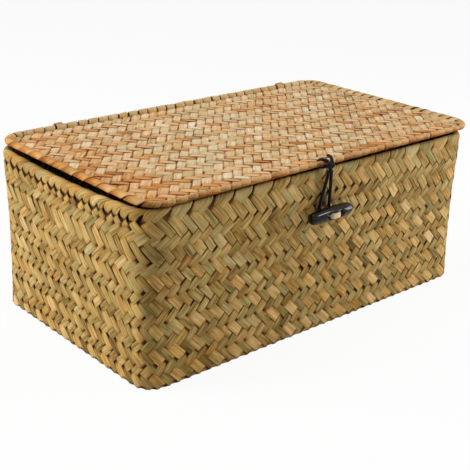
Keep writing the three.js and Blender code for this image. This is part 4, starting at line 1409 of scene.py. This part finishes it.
closing_loop, loop_path = cord_tube("closing_loop", loop_points)
dress(closing_loop, COTTON, "loop", "loop_cord")

# %% [markdown]
# ## Knot, edge turn and tail
# The knot is a tight overhand knot, whose middle line is close to a trefoil curve. Above it the cord goes
# once round the lid's edge, pressed into the rush, and its cut end lies back over the edge. They are the
# same cord as the loop, so they are named as the pieces on it.

# %% Knot, turn and tail
KNOT_TURNS = np.linspace(0, 2 * np.pi, 26)
KNOT_SPREAD = np.array([0.7, 0.8, 0.95])
KNOT_CORD = CORD * 1.08  # the cord bulges a little in the knot
knot_line = np.stack([
    np.sin(KNOT_TURNS) + 2 * np.sin(2 * KNOT_TURNS),
    -np.sin(3 * KNOT_TURNS),
    np.cos(KNOT_TURNS) - 2 * np.cos(2 * KNOT_TURNS),
], axis=-1)
closing_knot, _ = cord_tube("closing_knot", KNOT_MIDDLE + knot_line * KNOT_SPREAD, KNOT_CORD)

FRONT = 2  # in lists that run from the back over the left to the front
TURN_BITE = 0.4  # the cord bites into the roll
TURN_RADIUS = EDGE_HIGHS[FRONT] + CORD / 2 - TURN_BITE
TURN_LEAN = 4.6
TURN_POINTS = 19
front_roll_y = LID_MIDDLE[1] - LID_DEPTH / 2 + EDGE_GAP + EDGE_FLATS[FRONT]
turn_angle = np.radians(np.linspace(25, 315, TURN_POINTS))
turn_points = np.stack([
    CLOSURE_X - TURN_LEAN * np.sin(np.linspace(0, np.pi, TURN_POINTS)),
    front_roll_y - TURN_RADIUS * np.cos(turn_angle),
    EDGE_LEVELS[FRONT] + TURN_RADIUS * np.sin(turn_angle),
], axis=-1)
edge_turn, _ = cord_tube("closing_edge_turn", turn_points)

TAIL_ROUTE = np.array([[1.3, 0.2, 2.4], [1.8, 1.2, 4.4], [2.3, 3.4, 5.4], [2.6, 5.7, 5.4]])
cord_tail, _ = cord_tube("closing_tail", KNOT_MIDDLE + TAIL_ROUTE)

for piece, node in ((closing_knot, "loop_knot"), (edge_turn, "loop_collar"), (cord_tail, "loop_tail")):
    dress(piece, COTTON, "lid", node)

# %% [markdown]
# ## The toggle
# The toggle is a barrel of dark horn with one blunt and one rounded end. Two holes cross it, and a strip
# of straw goes through them. The barrel is a round section whose radius follows a sine from end to end.
# Drilling with a Boolean would leave long thin faces in the gloss, so a hole's mouth is a dimple: the
# radius falls by a steep bell curve round the place where the straw goes in. A ring is cut near the right
# end.

# %% Place of the toggle
TOGGLE_TILT = np.radians(-1)  # the right end hangs a little higher
toggle_middle = JOINT_AT["toggle_swivel"]
print("toggle's middle at", np.round(toggle_middle, 1))


def hang(points):
    """Points about the toggle's middle, turned by the toggle's tilt and moved to its place."""
    x, y, z = np.moveaxis(points, -1, 0)
    turned_x = x * np.cos(TOGGLE_TILT) + z * np.sin(TOGGLE_TILT)
    turned_z = z * np.cos(TOGGLE_TILT) - x * np.sin(TOGGLE_TILT)
    return np.stack([turned_x, y, turned_z], -1) + toggle_middle


# %% Toggle barrel
TOGGLE_LENGTH = 41.0
TOGGLE_RADIUS = 5.0
TOGGLE_END_RADIUS = 3.4
BLUNT, ROUNDED = 26, 9  # powers of the two ends' curves
END_CLOSED = 0.03  # what is left of the radius at the very ends, squared
TOGGLE_RINGS, TOGGLE_CORNERS = 100, 56
station = np.linspace(0, np.pi, TOGGLE_RINGS)[:, None]
spin = np.linspace(0, 2 * np.pi, TOGGLE_CORNERS, endpoint=False)[None, :]
along_x = -TOGGLE_LENGTH / 2 * np.cos(station)
radius = TOGGLE_END_RADIUS + (TOGGLE_RADIUS - TOGGLE_END_RADIUS) * np.sin(station)
to_end = np.abs(along_x) / (TOGGLE_LENGTH / 2)
radius = radius * np.sqrt(np.clip(1 - to_end ** np.where(along_x < 0, BLUNT, ROUNDED), END_CLOSED, 1))
print("barrel up to %.1f mm thick" % (2 * radius.max()))

# %% Toggle
HOLE_SPREAD, BACK_SPREAD = 5.9, 2.1  # from the middle to the holes at the front and at the back
HOLE_MOUTH = 2.1
HOLE_DEPTH = 2.8
HOLE_STEEP = 6  # power of the bell curve
RING_X, RING_ANGLE, RING_RADIUS, RING_CUT = 14.6, np.radians(40), 1.3, 0.35


def from_spot(spot_x, spot_angle):
    """Distance over the barrel from a spot, where the angle is measured upwards from the front."""
    turn = (spin - spot_angle + np.pi) % (2 * np.pi) - np.pi
    return np.hypot(along_x - spot_x, TOGGLE_RADIUS * turn)


mouth = 0.0
for side in (-1, 1):
    for reach, angle in ((HOLE_SPREAD, 0.0), (BACK_SPREAD, np.pi)):
        mouth = mouth + np.exp(-((from_spot(side * reach, angle) / HOLE_MOUTH) ** HOLE_STEEP))
radius = radius - HOLE_DEPTH * np.minimum(mouth, 1)
off_ring = from_spot(RING_X, RING_ANGLE) - RING_RADIUS
radius = radius - RING_CUT * np.exp(-((off_ring / RING_CUT) ** 2))
barrel = np.stack(np.broadcast_arrays(along_x, -radius * np.cos(spin), radius * np.sin(spin)), -1)
toggle = piece_from_rings("horn_toggle", hang(barrel)[None], {"mouth": mouth[None]})
dress(toggle, HORN, "toggle", "toggle")

# %% [markdown]
# ## The straw that holds the toggle
# A strip of straw lies across the toggle's front, goes back through both holes, comes together into a
# twisted shank through the wall and is knotted inside. The strip in front is a flat band. The two legs,
# the shank and the knot are round strips whose radius has bumps, like a twisted straw's.

# %% Round strips
STRIP_STEP = 0.5
STRIP_CORNERS = 14
STRIP_LOOKS = {"tone": 0.5, "rust": 0.0, "depth": TOP_DEPTH, "edge": 0.0}
STRIP_BUMPS, STRIP_TWIST = 3, 9  # bumps round the strip, and their turn from end to end in radians
STRIP_UP = np.array([0.02, 0.1, 1.0])  # a direction that no strip runs along


def round_strip(name, line, radii, bumps):
    """A round strip along a line of points about the toggle, with bumps of its radius that turn along it,
    as a cosine of the angle and the share of the way."""
    path = smooth_route(np.array(line, dtype=float), STRIP_STEP)
    share = np.linspace(0, 1, len(path))[:, None]
    angle = np.linspace(0, 2 * np.pi, STRIP_CORNERS, endpoint=False)[None, :]
    bumpy = 1 + bumps * np.cos(STRIP_BUMPS * angle + STRIP_TWIST * share)
    size = np.interp(share, np.linspace(0, 1, len(radii)), radii) * bumpy
    normal = np.broadcast_to(unit(STRIP_UP), path.shape)
    rings = carry(path[None], normal[None], (size * np.cos(angle))[None], (size * np.sin(angle))[None])
    return piece_from_rings(name, hang(rings), STRIP_LOOKS)


# %% Toggle straw
STRAP_WIDTH = 4.0
STRAP_THICK = 1.1
STRAP_TONE = 0.7
STRAP_STEP = 0.4
# the strip's left half, from the middle of the barrel's front
STRAP_HALF = np.array([[-3.9, 3.0, 0], [-3.8, 1.2, 0], [-3.2, -0.1, 0], [-1.7, -0.5, 0]])
STRAP_MIDDLE = np.array([[0, -0.6, 0]])
strap_points = np.concatenate([STRAP_HALF, STRAP_MIDDLE, STRAP_HALF[::-1] * [-1, 1, 1]])
path = smooth_route(strap_points - [0, TOGGLE_RADIUS, 0], STRAP_STEP)
outwards = unit(np.cross([0, 0, 1.0], np.gradient(path, axis=0))) * -1
strap = band("toggle_straw_strip", hang(path), outwards, STRAP_WIDTH, STRAP_THICK, STRAP_TONE)

LEG_LINE = np.array([[5.6, -2.0, 0], [4.0, 0.5, 0], [1.9, 5.2, 0], [0.9, 7.4, 0], [0.8, 8.6, 0]])
LEG_RADII, LEG_BUMPS = [1.1, 1.1], 0.06
legs = [
    round_strip("toggle_straw_leg_" + name, LEG_LINE * [sign, 1, 1], LEG_RADII, LEG_BUMPS)
    for name, sign in (("left", -1), ("right", 1))
]

SHANK_RADII, SHANK_BUMPS = [2.1, 2.1], 0.08
KNOT_RADII, KNOT_BUMPS = [1.6, 3.4, 3.9, 3.4, 0.9], 0.1
shank_end = box_mm("toggle_tie")[1][1] - toggle_middle[1]
shank_line = [[0, 7.7, 0], [0, 10, 0], [0, shank_end - 3, 0]]
stop_line = [[0, shank_end - 4.6, 0], [0, shank_end - 2.2, 0], [0, shank_end, 0]]
shank = round_strip("toggle_straw_shank", shank_line, SHANK_RADII, SHANK_BUMPS)
stop = round_strip("toggle_straw_knot", stop_line, KNOT_RADII, KNOT_BUMPS)
for piece in (strap, *legs, shank, stop):
    dress(piece, STRAW, "toggle", "toggle_tie")
